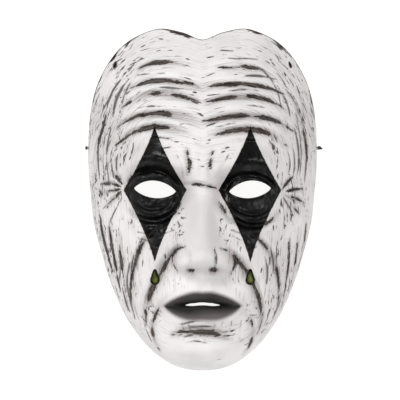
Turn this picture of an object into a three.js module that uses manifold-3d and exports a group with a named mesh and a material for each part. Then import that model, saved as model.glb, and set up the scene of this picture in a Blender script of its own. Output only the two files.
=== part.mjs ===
// A clown mask: a moulded rubber shell with an aged face, cut eyes and mouth, and a round elastic cord.
// Millimetres. The mask lies on its back rim: +X to the viewer's right, +Y from chin to forehead,
// +Z out of the face. The origin is on the surface it lies on, under the middle of its outline.
import * as THREE from 'three';
import { mergeVertices } from 'three/addons/utils/BufferGeometryUtils.js';
import Module from 'manifold-3d';

const wasm = await Module();
wasm.setup();

// Driving sizes of the shell
const HEIGHT = 245;
const WIDTH = 168;
const WALL = 2.6;
const BACK_REACH = 30; // how far the sides curve back from the middle of the face

// Places on the face: three equal thirds from the chin up, and five eyes across
const THIRD = 74;
const CHIN_Y = -HEIGHT / 2;
const NOSE_Y = CHIN_Y + THIRD;
const BROW_Y = NOSE_Y + THIRD;
const MOUTH_Y = NOSE_Y - THIRD / 3;
const EYE_X = WIDTH / 5;
const EYE_Y = BROW_Y - THIRD / 4;

// Openings
const EYE_HOLE = { width: 30, above: 6.6, below: 5.6, slant: 0.08 };
const MOUTH_SLIT = { width: 25, height: 1.7 };
const STRAP_HOLE = { y: 38, z: 9, radius: 1.15 };
const VENT_HOLE = { angle: 57, inset: 5.5, halfWidth: 1.1, halfLength: 1.9 };

// Cord and knots
const CORD_DIAMETER = 1.6;
const KNOT_RADIUS = 1.5;
const TAIL_LENGTH = 2.4;
const GAP = 0.3; // between the cord, its knots and the shell

// Mesh fineness
const CELLS = 128;
const OUTER_TOLERANCE = 0.38;
const INNER_TOLERANCE = 1.25;

const radians = THREE.MathUtils.degToRad;
const clamp = THREE.MathUtils.clamp;

// A smooth function through [at, value] pairs, flat at both ends and wherever it turns or starts to rise
function through(pairs) {
  const last = pairs.length - 1;
  const slopes = pairs.map((pair, i) => {
    if (i === 0 || i === last) return 0;
    const before = pair[1] - pairs[i - 1][1];
    const after = pairs[i + 1][1] - pair[1];
    return before * after <= 0 ? 0 : (before + after) / (pairs[i + 1][0] - pairs[i - 1][0]);
  });
  return (at) => {
    const t = clamp(at, pairs[0][0], pairs[last][0]);
    let i = 0;
    while (i < last - 1 && t > pairs[i + 1][0]) i += 1;
    const span = pairs[i + 1][0] - pairs[i][0];
    const q = (t - pairs[i][0]) / span;
    const back = 1 - q;
    return (1 + 2 * q) * back * back * pairs[i][1] + q * back * back * span * slopes[i]
      + q * q * (3 - 2 * q) * pairs[i + 1][1] - q * q * back * span * slopes[i + 1];
  };
}

// Outline seen from the front: radius by angle, from the chin at -90 degrees up to the dip at the top
const rimRadius = through([[-90, 122.5], [-81.5, 121.2], [-72, 115], [-60, 104.5], [-45, 92.5], [-27, 83.5],
  [-4, 81.3], [16, 87], [34, 99.7], [50, 115], [63, 125.1], [74, 127.1], [83, 120.8], [90, 114.4]]);
// Height of the back edge: on the surface at the sides, lifted under the chin
const rimLift = through([[-90, 30], [-75, 27], [-62, 14], [-48, 2], [-42, 0], [90, 0]]);
// The head's own outline over the mask's: the mask stops short of it above the temples
const headReach = through([[-90, 1], [29, 1], [41, 1.035], [53, 1.1], [64, 1.16], [75, 1.21], [90, 1.27]]);
// How squarely the face turns back: tighter under the chin than at the temples
const turnSharpness = (angle) => 3.6 + 6.5 * Math.exp(-(((angle + 90) / 36) ** 2));

// Middle profile of the face without nose and lips, by height above the chin
const profile = through([[0, 78], [14, 82], [30, 77], [49, 75], [72, 72], [97, 71], [130, 73], [150, 77],
  [172, 80], [197, 79], [222, 73], [248, 62]]);
// Nose by height above its base: how far it stands out, and half its width
const noseRise = through([[-11.5, 0], [-6, 0.8], [-3, 4], [-0.5, 10], [2.5, 18.5], [7, 24.5], [12, 26],
  [19.5, 22.5], [33.5, 15.5], [48.5, 8], [56.5, 4], [66.5, 0]]);
const noseHalfWidth = through([[-11.5, 12.5], [2.5, 12], [10.5, 11.5], [20.5, 9.8], [32.5, 8.2], [48.5, 8],
  [66.5, 10]]);

// Broad swellings and hollows, on the middle line and on both sides of it: place, half sizes, rise, turn in
// degrees and squareness
const MIDDLE_SWELLINGS = [
  { name: 'glabella', at: [0, BROW_Y - 3], size: [13, 11], rise: 2.4 },
  { name: 'muzzle', at: [0, MOUTH_Y + 3], size: [27, 20], rise: 8, square: 1.2 },
  { name: 'chin', at: [0, CHIN_Y + 16], size: [17, 12], rise: 7, square: 1.25 },
  { name: 'nose tip', at: [0, NOSE_Y + 10], size: [9, 8.5], rise: 2.6, square: 1.2 },
  { name: 'philtrum', at: [0, NOSE_Y - 9], size: [3, 7], rise: -1.3 },
];
const PAIRED_SWELLINGS = [
  { name: 'eye socket', at: [EYE_X - 2.5, EYE_Y + 2], size: [21, 12.5], rise: -9.5 },
  { name: 'inner corner', at: [15, EYE_Y], size: [6.5, 10], rise: -5.5 },
  { name: 'eyeball', at: [EYE_X, EYE_Y - 0.5], size: [18.5, 12.2], rise: 8, square: 1.7 },
  { name: 'upper lid', at: [EYE_X, EYE_Y + 9.5], size: [17, 3.6], rise: 1.2 },
  { name: 'lower lid', at: [EYE_X, EYE_Y - 15.5], size: [17, 6], rise: 1.6 },
  { name: 'temple', at: [70, BROW_Y + 16], size: [13, 22], rise: -5 },
  { name: 'cheekbone', at: [55, EYE_Y - 22], size: [18, 11], rise: 6, turn: -22 },
  { name: 'cheek', at: [33, NOSE_Y + 13], size: [13, 15], rise: 5, turn: 25 },
  { name: 'cheek hollow', at: [53, NOSE_Y - 7], size: [12, 20], rise: -5, turn: 15 },
  { name: 'mouth corner', at: [29.5, MOUTH_Y - 2], size: [5, 5.5], rise: -2.6 },
  { name: 'jowl', at: [39, CHIN_Y + 27], size: [11, 13], rise: 3.6 },
  { name: 'nose wing', at: [13.2, NOSE_Y + 6.6], size: [6.8, 7.6], rise: 8.6, square: 1.7 },
  { name: 'philtrum ridge', at: [5.2, NOSE_Y - 9.5], size: [2.2, 7], rise: 0.8 },
];
const NOSTRIL = { at: [7.4, NOSE_Y - 0.2], size: [3.9, 2.4], rise: -5, square: 1.3 };

// Wrinkles: path, depth, half width and the height of the soft ridge beside each
const FURROWS = [
  { rise: 18, from: 8, to: 62, arch: 7.5, depth: 2.4, ridge: 1 },
  { rise: 29.5, from: 0, to: 66, arch: 5.4, depth: 2.8, ridge: 0.9 },
  { rise: 42.5, from: 3, to: 59, arch: 6, depth: 2.5, ridge: 0.8 },
  { rise: 54, from: 0, to: 57, arch: 3.2, depth: 2.1, ridge: 0.65 },
  { rise: 67, from: 10, to: 47, arch: 3.4, depth: 1.6, ridge: 0.5 },
];
const ARCH_SPAN = 68;
const furrows = FURROWS.map(({ rise, from, to, arch, depth, ridge }) => ({
  path: [0, 0.25, 0.5, 0.75, 1].map((share) => {
    const x = from + (to - from) * share;
    const fall = (9 - rise / 15) * share ** 4;
    return [x, BROW_Y + rise + arch * Math.sin((Math.PI * x) / ARCH_SPAN) - fall];
  }),
  depth,
  width: 2.2,
  ridge,
}));
const crowsFeet = [58, 24, -6, -36].map((angle, i) => ({
  path: [4, 12, 21 - i].map((reach) => [
    EYE_X + 21 + reach * Math.cos(radians(angle)),
    EYE_Y - 1 + reach * Math.sin(radians(angle)) - 0.012 * reach * reach,
  ]),
  depth: 2,
  width: 1.7,
  ridge: 0.6,
}));
const sideLines = [0, 1, 2].map((i) => ({
  path: [0, 0.33, 0.67, 1].map((share) => [
    75 - 7 * i - (8 - i) * share ** 1.7,
    EYE_Y - 18 - 8 * i - (42 + 6 * i) * share,
  ]),
  depth: 2,
  width: 1.9,
  ridge: 0.5,
}));
const PAIRED_WRINKLES = [
  ...furrows,
  ...crowsFeet,
  ...sideLines,
  { name: 'brow', path: [[5, BROW_Y - 5.5], [20, BROW_Y + 0.5], [38, BROW_Y + 3.5], [55, BROW_Y - 2.5],
    [67, BROW_Y - 17.5]], depth: -5, width: 8.5, ridge: 0, long: true },
  { name: 'lid crease', path: [[16.5, EYE_Y + 2], [24, EYE_Y + 11], [36, EYE_Y + 13], [48, EYE_Y + 8],
    [54, EYE_Y - 1]], depth: 2.3, width: 1.7, ridge: 0 },
  { name: 'lower lid line', path: [[19, EYE_Y - 6], [27, EYE_Y - 13.5], [38, EYE_Y - 15], [49, EYE_Y - 9.5]],
    depth: 1.2, width: 1.5, ridge: 0 },
  { name: 'eye bag', path: [[13, EYE_Y - 7], [19, EYE_Y - 17], [31, EYE_Y - 23.5], [44, EYE_Y - 22],
    [54, EYE_Y - 14]], depth: 2.4, width: 2.2, ridge: 0.8 },
  { name: 'glabella line', path: [[8.5, BROW_Y - 9], [7, BROW_Y], [9, BROW_Y + 11]], depth: 1.5, width: 1.9,
    ridge: 0.5 },
  { name: 'nose wing line', path: [[11, NOSE_Y + 15.5], [18.5, NOSE_Y + 12.5], [21.8, NOSE_Y + 5.5],
    [18, NOSE_Y - 2]], depth: 2.2, width: 1.9, ridge: 0 },
  { name: 'nose tip line', path: [[7.6, NOSE_Y + 15.5], [8.8, NOSE_Y + 8.5], [7.8, NOSE_Y + 2.5]], depth: 1.3,
    width: 1.8, ridge: 0 },
  { name: 'nose to mouth', path: [[20, NOSE_Y + 11.5], [28, NOSE_Y + 0.5], [36, NOSE_Y - 13.5],
    [40.5, MOUTH_Y - 4], [40, MOUTH_Y - 17]], depth: 3.8, width: 3.1, ridge: 1.5 },
  { name: 'cheek line', path: [[31, EYE_Y - 27], [43, EYE_Y - 39], [51, NOSE_Y - 1.5], [53, MOUTH_Y + 3],
    [49, MOUTH_Y - 13]], depth: 2.6, width: 2.2, ridge: 1 },
  { name: 'mouth to chin', path: [[31, MOUTH_Y - 3], [35, MOUTH_Y - 14], [34, MOUTH_Y - 26],
    [29, MOUTH_Y - 35]], depth: 2.2, width: 2, ridge: 0.7 },
  { name: 'temple line', path: [[70, BROW_Y + 34], [75, BROW_Y + 14], [77, BROW_Y - 3]], depth: 1.6,
    width: 1.8, ridge: 0.4 },
];
const MIDDLE_WRINKLES = [
  { name: 'nose root', path: [[-11, EYE_Y + 3], [0, EYE_Y + 5], [11, EYE_Y + 3]], depth: 1.6, width: 1.6,
    ridge: 0.4 },
  { name: 'above the chin', path: [[-21, MOUTH_Y - 22], [-12, MOUTH_Y - 18.5], [0, MOUTH_Y - 17.5],
    [12, MOUTH_Y - 18.5], [21, MOUTH_Y - 22]], depth: 3.2, width: 3, ridge: 0 },
];

// Lips: half width, thickness of each, and how far they roll out
const LIPS = { half: 27, upper: 8.6, lower: 11, upperRoll: 3.4, lowerRoll: 4.6, partDepth: 3.4,
  partWidth: 1.5 };

function swell({ at, size, rise, turn = 0, square = 1 }, x, y) {
  const cos = Math.cos(radians(turn));
  const sin = Math.sin(radians(turn));
  const dx = x - at[0];
  const dy = y - at[1];
  const along = (dx * cos + dy * sin) / size[0];
  const across = (-dx * sin + dy * cos) / size[1];
  return rise * Math.exp(-((along * along + across * across) ** square));
}

// Each wrinkle's path as short straight steps, with its reach as a box
const STEPS = 20;
for (const wrinkle of [...PAIRED_WRINKLES, ...MIDDLE_WRINKLES]) {
  const curve = new THREE.CatmullRomCurve3(wrinkle.path.map(([x, y]) => new THREE.Vector3(x, y, 0)));
  wrinkle.points = curve.getPoints(STEPS);
  wrinkle.box = new THREE.Box3().setFromPoints(wrinkle.points).expandByScalar(5 * wrinkle.width);
}

// Height change that one wrinkle makes at a point, fading out at its two ends
function wrinkleDepth(wrinkle, x, y) {
  const { points, box, width, depth, ridge, long } = wrinkle;
  if (x < box.min.x || x > box.max.x || y < box.min.y || y > box.max.y) return 0;
  let nearest = Infinity;
  let share = 0;
  for (let i = 0; i < STEPS; i += 1) {
    const dx = points[i + 1].x - points[i].x;
    const dy = points[i + 1].y - points[i].y;
    const t = clamp(((x - points[i].x) * dx + (y - points[i].y) * dy) / (dx * dx + dy * dy), 0, 1);
    const distance = Math.hypot(x - points[i].x - t * dx, y - points[i].y - t * dy);
    if (distance < nearest) {
      nearest = distance;
      share = (i + t) / STEPS;
    }
  }
  const swellTo = Math.sin(Math.PI * clamp(0.92 * share + 0.04, 0, 1));
  const fade = long ? 0.55 + 0.45 * swellTo : swellTo ** 0.6;
  const groove = depth * Math.exp(-((nearest / width) ** 2));
  const banks = ridge * Math.exp(-(((nearest - 2.3 * width) / (1.3 * width)) ** 2));
  return (banks - groove) * fade;
}

// Left and right wrinkles drift a little apart, as on a hand-modelled face
const drift = (x, y) => [
  x + 1.3 * Math.sin(y / 23 + 0.7) + 0.8 * Math.sin(x / 19 + 2),
  y + 1.7 * Math.sin(x / 29 + 0.4) + 0.9 * Math.sin(y / 17 + x / 41),
];

function wrinkles(x, y) {
  const [driftedX, driftedY] = drift(x, y);
  let total = 0;
  for (const wrinkle of PAIRED_WRINKLES) total += wrinkleDepth(wrinkle, Math.abs(driftedX), driftedY);
  for (const wrinkle of MIDDLE_WRINKLES) total += wrinkleDepth(wrinkle, driftedX, driftedY);
  return total;
}

// Height up the face of the line between the lips, with a small bow in the middle
function lipLine(x) {
  const corner = clamp(Math.abs(x) / LIPS.half, 0, 1);
  return MOUTH_Y - 1.2 * corner ** 2 + 0.9 * Math.exp(-((x / 7) ** 2));
}

function lips(x, y) {
  const share = clamp(Math.abs(x) / LIPS.half, 0, 1);
  const above = y > lipLine(x);
  const bow = 1 - 0.14 * Math.exp(-((x / 4.2) ** 2));
  const thickness = above
    ? LIPS.upper * (1 - share ** 2.1) ** 0.9 * bow + 0.4
    : LIPS.lower * (1 - share ** 2.4) ** 0.85 + 0.4;
  const away = Math.abs(y - lipLine(x));
  const rolledOut = above ? LIPS.upperRoll : LIPS.lowerRoll;
  const roll = rolledOut * Math.max(0, 1 - (away / thickness / 1.3) ** 2) ** 1.4;
  const parting = LIPS.partDepth * Math.exp(-((away / LIPS.partWidth) ** 2));
  return (roll - parting) * (1 - share ** 3);
}

function nose(x, y) {
  const half = noseHalfWidth(y - NOSE_Y);
  const ridge = Math.exp(-(Math.abs(x / half) ** 2.6));
  const foot = Math.exp(-((x / (2 * half)) ** 2));
  return noseRise(y - NOSE_Y) * (0.68 * ridge + 0.32 * foot);
}

// Height of the face over the surface; the smooth version leaves out what the wall's thickness doesn't follow
function faceHeight(x, y, smooth = false) {
  const radius = Math.hypot(x, y);
  const angle = THREE.MathUtils.radToDeg(Math.atan2(y, Math.abs(x)));
  const lift = rimLift(angle);
  const share = radius / (rimRadius(angle) * headReach(angle));
  const turnBack = Math.sqrt(Math.max(0, 1 - share ** turnSharpness(angle)));
  const jawFall = 6 * Math.exp(-(((y - MOUTH_Y) / 40) ** 2)) * (x / 60) ** 2;
  const sideFall = BACK_REACH * (2 * x / WIDTH) ** 2 + jawFall;
  let front = profile(y - CHIN_Y) - sideFall + nose(x, y);
  for (const swelling of MIDDLE_SWELLINGS) front += swell(swelling, x, y);
  for (const swelling of PAIRED_SWELLINGS) front += swell(swelling, Math.abs(x), y);
  if (!smooth) front += lips(x, y) + wrinkles(x, y) + swell(NOSTRIL, Math.abs(x), y);
  return lift + (front - lift) * turnBack;
}

// A place on the shell by its share across and up the unit square, spread evenly down the side walls
function facePlace(u, v) {
  const discX = u * Math.sqrt(1 - (v * v) / 2);
  const discY = v * Math.sqrt(1 - (u * u) / 2);
  const share = Math.min(1, Math.hypot(discX, discY));
  const direction = Math.atan2(discY, discX);
  const angle = THREE.MathUtils.radToDeg(Math.atan2(discY, Math.abs(discX)));
  const reach = headReach(angle);
  const radius = rimRadius(angle) * reach * Math.sin(share * Math.asin(Math.min(1, 1 / reach)));
  return [radius * Math.cos(direction), radius * Math.sin(direction)];
}

// Grid of points on the shell, and the direction square to the smooth face at each
const SIDE = CELLS + 1;
const cell = (i, j) => j * SIDE + i;

function makeGrid(smooth) {
  const points = [];
  for (let j = 0; j < SIDE; j += 1) {
    for (let i = 0; i < SIDE; i += 1) {
      const [x, y] = facePlace((2 * i) / CELLS - 1, (2 * j) / CELLS - 1);
      points.push(new THREE.Vector3(x, y, faceHeight(x, y, smooth)));
    }
  }
  return points;
}

// At the grid's four corners its two directions run together, so the normal there is that of one cell in
function gridNormals(points) {
  const step = (i, j, di, dj) => points[cell(clamp(i + di, 0, CELLS), clamp(j + dj, 0, CELLS))];
  return points.map((point, index) => {
    const column = index % SIDE;
    const row = (index - column) / SIDE;
    const edge = column % CELLS === 0 && row % CELLS === 0 ? 1 : 0;
    const i = clamp(column, edge, CELLS - edge);
    const j = clamp(row, edge, CELLS - edge);
    const across = step(i, j, 1, 0).clone().sub(step(i, j, -1, 0));
    const up = step(i, j, 0, 1).clone().sub(step(i, j, 0, -1));
    return across.cross(up).normalize();
  });
}

// Right triangles, halved again and again until each follows the face within the tolerance
function makeTriangles(points, normals, tolerance) {
  const family = [[0, 0, CELLS, CELLS, CELLS, 0], [CELLS, CELLS, 0, 0, 0, CELLS]];
  const middle = (a, b) => (a + b) / 2;
  const isSmallest = ([ax, ay, , , cx, cy]) => Math.abs(ax - cx) + Math.abs(ay - cy) <= 1;
  const halves = ([ax, ay, bx, by, cx, cy]) => {
    const [mx, my] = [middle(ax, bx), middle(ay, by)];
    return [[cx, cy, ax, ay, mx, my], [bx, by, cx, cy, mx, my]];
  };
  for (let i = 0; i < family.length; i += 1) {
    if (!isSmallest(family[i])) family.push(...halves(family[i]));
  }
  const error = new Float64Array(points.length);
  for (const triangle of family.toReversed()) {
    if (isSmallest(triangle)) continue;
    const [ax, ay, bx, by, cx, cy] = triangle;
    const centre = cell(middle(ax, bx), middle(ay, by));
    const chord = points[cell(ax, ay)].clone().add(points[cell(bx, by)]).multiplyScalar(0.5);
    const own = Math.abs(chord.sub(points[centre]).dot(normals[centre]));
    const below = isSmallest(halves(triangle)[0])
      ? [0]
      : [error[cell(middle(ax, cx), middle(ay, cy))], error[cell(middle(bx, cx), middle(by, cy))]];
    error[centre] = Math.max(error[centre], own, ...below);
  }
  const chosen = [];
  const choose = (triangle) => {
    const [ax, ay, bx, by, cx, cy] = triangle;
    if (!isSmallest(triangle) && error[cell(middle(ax, bx), middle(ay, by))] > tolerance) {
      halves(triangle).forEach(choose);
    } else {
      chosen.push([cell(ax, ay), cell(cx, cy), cell(bx, by)]);
    }
  };
  family.slice(0, 2).forEach(choose);
  return chosen;
}

// The grid's border in order, as far round as each point lies
function border(triangles) {
  const used = new Set(triangles.flat());
  const ring = [];
  for (let k = 0; k < CELLS; k += 1) ring.push([k, cell(k, 0)]);
  for (let k = 0; k < CELLS; k += 1) ring.push([CELLS + k, cell(CELLS, k)]);
  for (let k = 0; k < CELLS; k += 1) ring.push([2 * CELLS + k, cell(CELLS - k, CELLS)]);
  for (let k = 0; k < CELLS; k += 1) ring.push([3 * CELLS + k, cell(0, CELLS - k)]);
  const kept = ring.filter(([, index]) => used.has(index));
  return [...kept, [4 * CELLS, kept[0][1]]];
}

// Triangles that join the outer border to the inner one along the rim
function rimBand(outerBorder, innerBorder) {
  const band = [];
  let i = 0;
  let j = 0;
  while (i < outerBorder.length - 1 || j < innerBorder.length - 1) {
    const nextOuter = i < outerBorder.length - 1 ? outerBorder[i + 1][0] : Infinity;
    const nextInner = j < innerBorder.length - 1 ? innerBorder[j + 1][0] : Infinity;
    if (nextOuter <= nextInner) {
      band.push([`o${outerBorder[i + 1][1]}`, `o${outerBorder[i][1]}`, `i${innerBorder[j][1]}`]);
      i += 1;
    } else {
      band.push([`o${outerBorder[i][1]}`, `i${innerBorder[j][1]}`, `i${innerBorder[j + 1][1]}`]);
      j += 1;
    }
  }
  return band;
}

function toManifold(geometry) {
  const bare = geometry.clone();
  bare.deleteAttribute('normal');
  bare.deleteAttribute('uv');
  const merged = mergeVertices(bare, 1e-4);
  return new wasm.Manifold(new wasm.Mesh({
    numProp: 3,
    vertProperties: new Float32Array(merged.attributes.position.array),
    triVerts: new Uint32Array(merged.index.array),
  }));
}

function toGeometry(solid) {
  const { vertProperties, triVerts } = solid.getMesh();
  const geometry = new THREE.BufferGeometry();
  geometry.setAttribute('position', new THREE.BufferAttribute(new Float32Array(vertProperties), 3));
  geometry.setIndex(new THREE.BufferAttribute(new Uint32Array(triVerts), 1));
  geometry.computeVertexNormals();
  return geometry;
}

function shellSolid() {
  const outer = makeGrid(false);
  const squareTo = gridNormals(makeGrid(true));
  const inner = outer.map((point, index) => point.clone().addScaledVector(squareTo[index], -WALL));
  for (const point of inner) point.z = Math.max(point.z, 0);
  const outerTriangles = makeTriangles(outer, squareTo, OUTER_TOLERANCE);
  const innerTriangles = makeTriangles(inner, squareTo, INNER_TOLERANCE);
  const faces = [
    ...outerTriangles.map((corners) => corners.map((index) => `o${index}`)),
    ...innerTriangles.map(([a, b, c]) => [`i${a}`, `i${c}`, `i${b}`]),
    ...rimBand(border(outerTriangles), border(innerTriangles)),
  ];
  const order = new Map();
  const coordinates = [];
  const corner = (key) => {
    if (!order.has(key)) {
      const point = (key[0] === 'o' ? outer : inner)[Number(key.slice(1))];
      order.set(key, order.size);
      coordinates.push(point.x, point.y, point.z);
    }
    return order.get(key);
  };
  const triVerts = new Uint32Array(faces.flat().map(corner));
  const vertProperties = new Float32Array(coordinates);
  return new wasm.Manifold(new wasm.Mesh({ numProp: 3, vertProperties, triVerts }));
}

// Heights between which the eye holes and the mouth slit are cut
const CUT_FROM = 20;
const CUT_TO = 120;

// A closed outline pushed along +Z between two heights
function upright(outline, from, to) {
  const shape = new THREE.Shape(outline.map(([x, y]) => new THREE.Vector2(x, y)));
  const geometry = new THREE.ExtrudeGeometry(shape, { depth: to - from, bevelEnabled: false });
  return geometry.translate(0, 0, from);
}

// Almond outline: the upper and lower lid edges, each with its own height
function almond({ width, above, below, slant }, centreX, centreY, mirror) {
  const count = 14;
  const edge = (share, height) => [
    centreX + mirror * share * width / 2,
    centreY + slant * share * width / 2 + height * Math.max(0, 1 - share * share) ** 0.85,
  ];
  const shares = Array.from({ length: count + 1 }, (_, k) => (2 * k) / count - 1);
  const upper = shares.map((share) => edge(share, above));
  const lower = shares.slice(1, -1).reverse().map((share) => edge(share, -below));
  const outline = [...upper, ...lower];
  return mirror > 0 ? outline.reverse() : outline;
}

function mouthOutline() {
  const count = 10;
  const shares = Array.from({ length: count + 1 }, (_, k) => (2 * k) / count - 1);
  const half = MOUTH_SLIT.width / 2;
  const thickness = (share) => (MOUTH_SLIT.height / 2) * (1 - share ** 4) + 0.12;
  const upper = shares.map((share) => [share * half, lipLine(share * half) + thickness(share)]);
  const lower = shares.map((share) => [share * half, lipLine(share * half) - thickness(share)]);
  return [...lower, ...upper.reverse()];
}

// Where the side wall stands at a height, found by halving
function wallX(y, z) {
  let inside = 40;
  let outside = WIDTH / 2;
  for (let k = 0; k < 40; k += 1) {
    const middle = (inside + outside) / 2;
    if (faceHeight(middle, y) > z) inside = middle;
    else outside = middle;
  }
  return inside;
}

const strapWallX = wallX(STRAP_HOLE.y, STRAP_HOLE.z);

function strapHole(side) {
  const sides = 12;
  const length = 16;
  const geometry = new THREE.CylinderGeometry(STRAP_HOLE.radius, STRAP_HOLE.radius, length, sides);
  geometry.rotateZ(Math.PI / 2);
  return geometry.translate(side * strapWallX, STRAP_HOLE.y, STRAP_HOLE.z);
}

// A small oval hole square to the wall at the temple, its long side up the face
function ventHole(side) {
  const sides = 12;
  const length = 14;
  const distance = rimRadius(VENT_HOLE.angle) - VENT_HOLE.inset;
  const x = distance * Math.cos(radians(VENT_HOLE.angle));
  const y = distance * Math.sin(radians(VENT_HOLE.angle));
  const near = 1;
  const slopeX = (faceHeight(x + near, y, true) - faceHeight(x - near, y, true)) / (2 * near);
  const slopeY = (faceHeight(x, y + near, true) - faceHeight(x, y - near, true)) / (2 * near);
  const outward = new THREE.Vector3(-slopeX * side, -slopeY, 1).normalize();
  const geometry = new THREE.CylinderGeometry(1, 1, length, sides);
  geometry.rotateX(Math.PI / 2);
  geometry.scale(VENT_HOLE.halfWidth, VENT_HOLE.halfLength, 1);
  geometry.applyQuaternion(new THREE.Quaternion().setFromUnitVectors(new THREE.Vector3(0, 0, 1), outward));
  return geometry.translate(side * x, y, faceHeight(side * x, y));
}

function makeShell() {
  const cuts = [
    ...[-1, 1].map((side) => upright(almond(EYE_HOLE, side * EYE_X, EYE_Y, side), CUT_FROM, CUT_TO)),
    upright(mouthOutline(), CUT_FROM, CUT_TO),
    ...[-1, 1].map(strapHole),
    ...[-1, 1].map(ventHole),
  ];
  return toGeometry(cuts.reduce((solid, cut) => solid.subtract(toManifold(cut)), shellSolid()));
}

// The cord runs loose in the hollow: out of one strap hole, down, in one easy bend and back to the other
const CORD_LOW = CORD_DIAMETER / 2 + 0.25;
const cordEndX = strapWallX + GAP;
const CORD_ROUTE = [
  [cordEndX, STRAP_HOLE.y, STRAP_HOLE.z],
  [cordEndX - 5, STRAP_HOLE.y, STRAP_HOLE.z],
  [cordEndX - 10, STRAP_HOLE.y + 0.3, STRAP_HOLE.z - 0.9],
  [cordEndX - 16, STRAP_HOLE.y + 1.5, STRAP_HOLE.z - 4],
  [cordEndX - 22, 42, 2.6],
  [54, 47, CORD_LOW],
  [46, 56, CORD_LOW],
  [39, 68, CORD_LOW],
  [31, 80, CORD_LOW],
  [20, 88, CORD_LOW],
  [7, 90, CORD_LOW],
  [-4, 84, CORD_LOW],
  [-10, 73, CORD_LOW],
  [-12, 60, CORD_LOW],
  [-13, 47, CORD_LOW],
  [-17, 35, CORD_LOW],
  [-26, 27, CORD_LOW],
  [-38, 25, CORD_LOW],
  [-50, 29, CORD_LOW],
  [22 - cordEndX, 35, 2.6],
  [16 - cordEndX, STRAP_HOLE.y - 0.4, STRAP_HOLE.z - 4],
  [10 - cordEndX, STRAP_HOLE.y, STRAP_HOLE.z - 0.9],
  [5 - cordEndX, STRAP_HOLE.y, STRAP_HOLE.z],
  [-cordEndX, STRAP_HOLE.y, STRAP_HOLE.z],
];
const cordCurve = new THREE.CatmullRomCurve3(CORD_ROUTE.map((point) => new THREE.Vector3(...point)));

function makeCord() {
  const sides = 8;
  const steps = 60;
  const corners = Array.from({ length: sides }, (_, k) => {
    const turn = (2 * Math.PI * (k + 0.5)) / sides;
    return new THREE.Vector2(Math.cos(turn), Math.sin(turn)).multiplyScalar(CORD_DIAMETER / 2);
  });
  const settings = { steps, bevelEnabled: false, extrudePath: cordCurve };
  return new THREE.ExtrudeGeometry(new THREE.Shape(corners), settings);
}

// A stopper knot outside the wall: the right one keeps a short tail, the left one is pulled flat
function makeKnot(side, thickness, tailLength) {
  const centreX = side * (cordEndX + GAP + thickness / 2);
  const knot = new THREE.SphereGeometry(KNOT_RADIUS, 12, 7).scale(thickness / (2 * KNOT_RADIUS), 1.08, 0.95);
  const solid = toManifold(knot.translate(centreX, STRAP_HOLE.y, STRAP_HOLE.z));
  if (tailLength === 0) return toGeometry(solid);
  const tailRadius = 0.44 * CORD_DIAMETER;
  const droop = 0.12;
  const tail = new THREE.CylinderGeometry(tailRadius, tailRadius, tailLength, 10);
  tail.rotateZ(Math.PI / 2 - droop);
  tail.translate(centreX + (side * tailLength) / 2, STRAP_HOLE.y - 0.3, STRAP_HOLE.z);
  return toGeometry(solid.add(toManifold(tail)));
}

const paintedRubber = new THREE.MeshStandardMaterial({ color: 0xd9d6d2, roughness: 0.72, metalness: 0 });
const blackElastic = new THREE.MeshStandardMaterial({ color: 0x161616, roughness: 0.85, metalness: 0 });

function piece(name, geometry, material) {
  const mesh = new THREE.Mesh(geometry, material);
  mesh.name = name;
  return mesh;
}

const mask = new THREE.Group();
mask.add(
  piece('mask_shell', makeShell(), paintedRubber),
  piece('head_cord', makeCord(), blackElastic),
  piece('knot_right', makeKnot(1, 2 * KNOT_RADIUS, TAIL_LENGTH), blackElastic),
  piece('knot_left', makeKnot(-1, 1.3 * KNOT_RADIUS, 0), blackElastic),
);

export default mask;
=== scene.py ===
import math
from functools import partialmethod

import bpy
import numpy as np
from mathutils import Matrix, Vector


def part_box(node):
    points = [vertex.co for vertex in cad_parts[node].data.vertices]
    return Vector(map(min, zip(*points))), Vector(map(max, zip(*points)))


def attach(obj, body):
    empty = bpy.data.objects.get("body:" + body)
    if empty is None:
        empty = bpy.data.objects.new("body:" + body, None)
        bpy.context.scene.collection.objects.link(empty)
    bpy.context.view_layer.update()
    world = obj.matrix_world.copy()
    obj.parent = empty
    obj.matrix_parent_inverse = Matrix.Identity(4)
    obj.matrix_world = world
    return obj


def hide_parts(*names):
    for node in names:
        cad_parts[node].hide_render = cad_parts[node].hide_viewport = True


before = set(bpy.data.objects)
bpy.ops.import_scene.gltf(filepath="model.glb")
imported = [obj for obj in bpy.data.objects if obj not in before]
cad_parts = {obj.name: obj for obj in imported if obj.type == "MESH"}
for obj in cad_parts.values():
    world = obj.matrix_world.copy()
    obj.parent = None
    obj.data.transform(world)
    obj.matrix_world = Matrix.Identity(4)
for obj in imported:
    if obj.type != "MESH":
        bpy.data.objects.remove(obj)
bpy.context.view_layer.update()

# The surface is worked out in millimetres, as the solid is, and turned into metres when a mesh is made
MM = 0.001
SHELL_LOW, SHELL_HIGH = (np.array(corner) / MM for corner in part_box("mask_shell"))

# Driving sizes of the shell
HEIGHT = 245.0
WIDTH = 168.0
WALL = 2.6
BACK_REACH = 30.0  # how far the sides curve back from the middle of the face

# Places on the face: three equal thirds from the chin up, and five eyes across
THIRD = 74.0
CHIN_Y = -HEIGHT / 2
NOSE_Y = CHIN_Y + THIRD
BROW_Y = NOSE_Y + THIRD
MOUTH_Y = NOSE_Y - THIRD / 3
EYE_X = WIDTH / 5
EYE_Y = BROW_Y - THIRD / 4

# Openings
EYE_HOLE = {"width": 30.0, "above": 6.6, "below": 5.6, "slant": 0.08}
MOUTH_SLIT = {"width": 25.0, "height": 1.7}
STRAP_Y, STRAP_Z, STRAP_RADIUS = 38.0, 9.0, 1.15
VENT_HOLE = {"angle": 57.0, "inset": 5.5, "half_width": 1.1, "half_length": 1.9}
VENT_STAIN = 0.7

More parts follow.
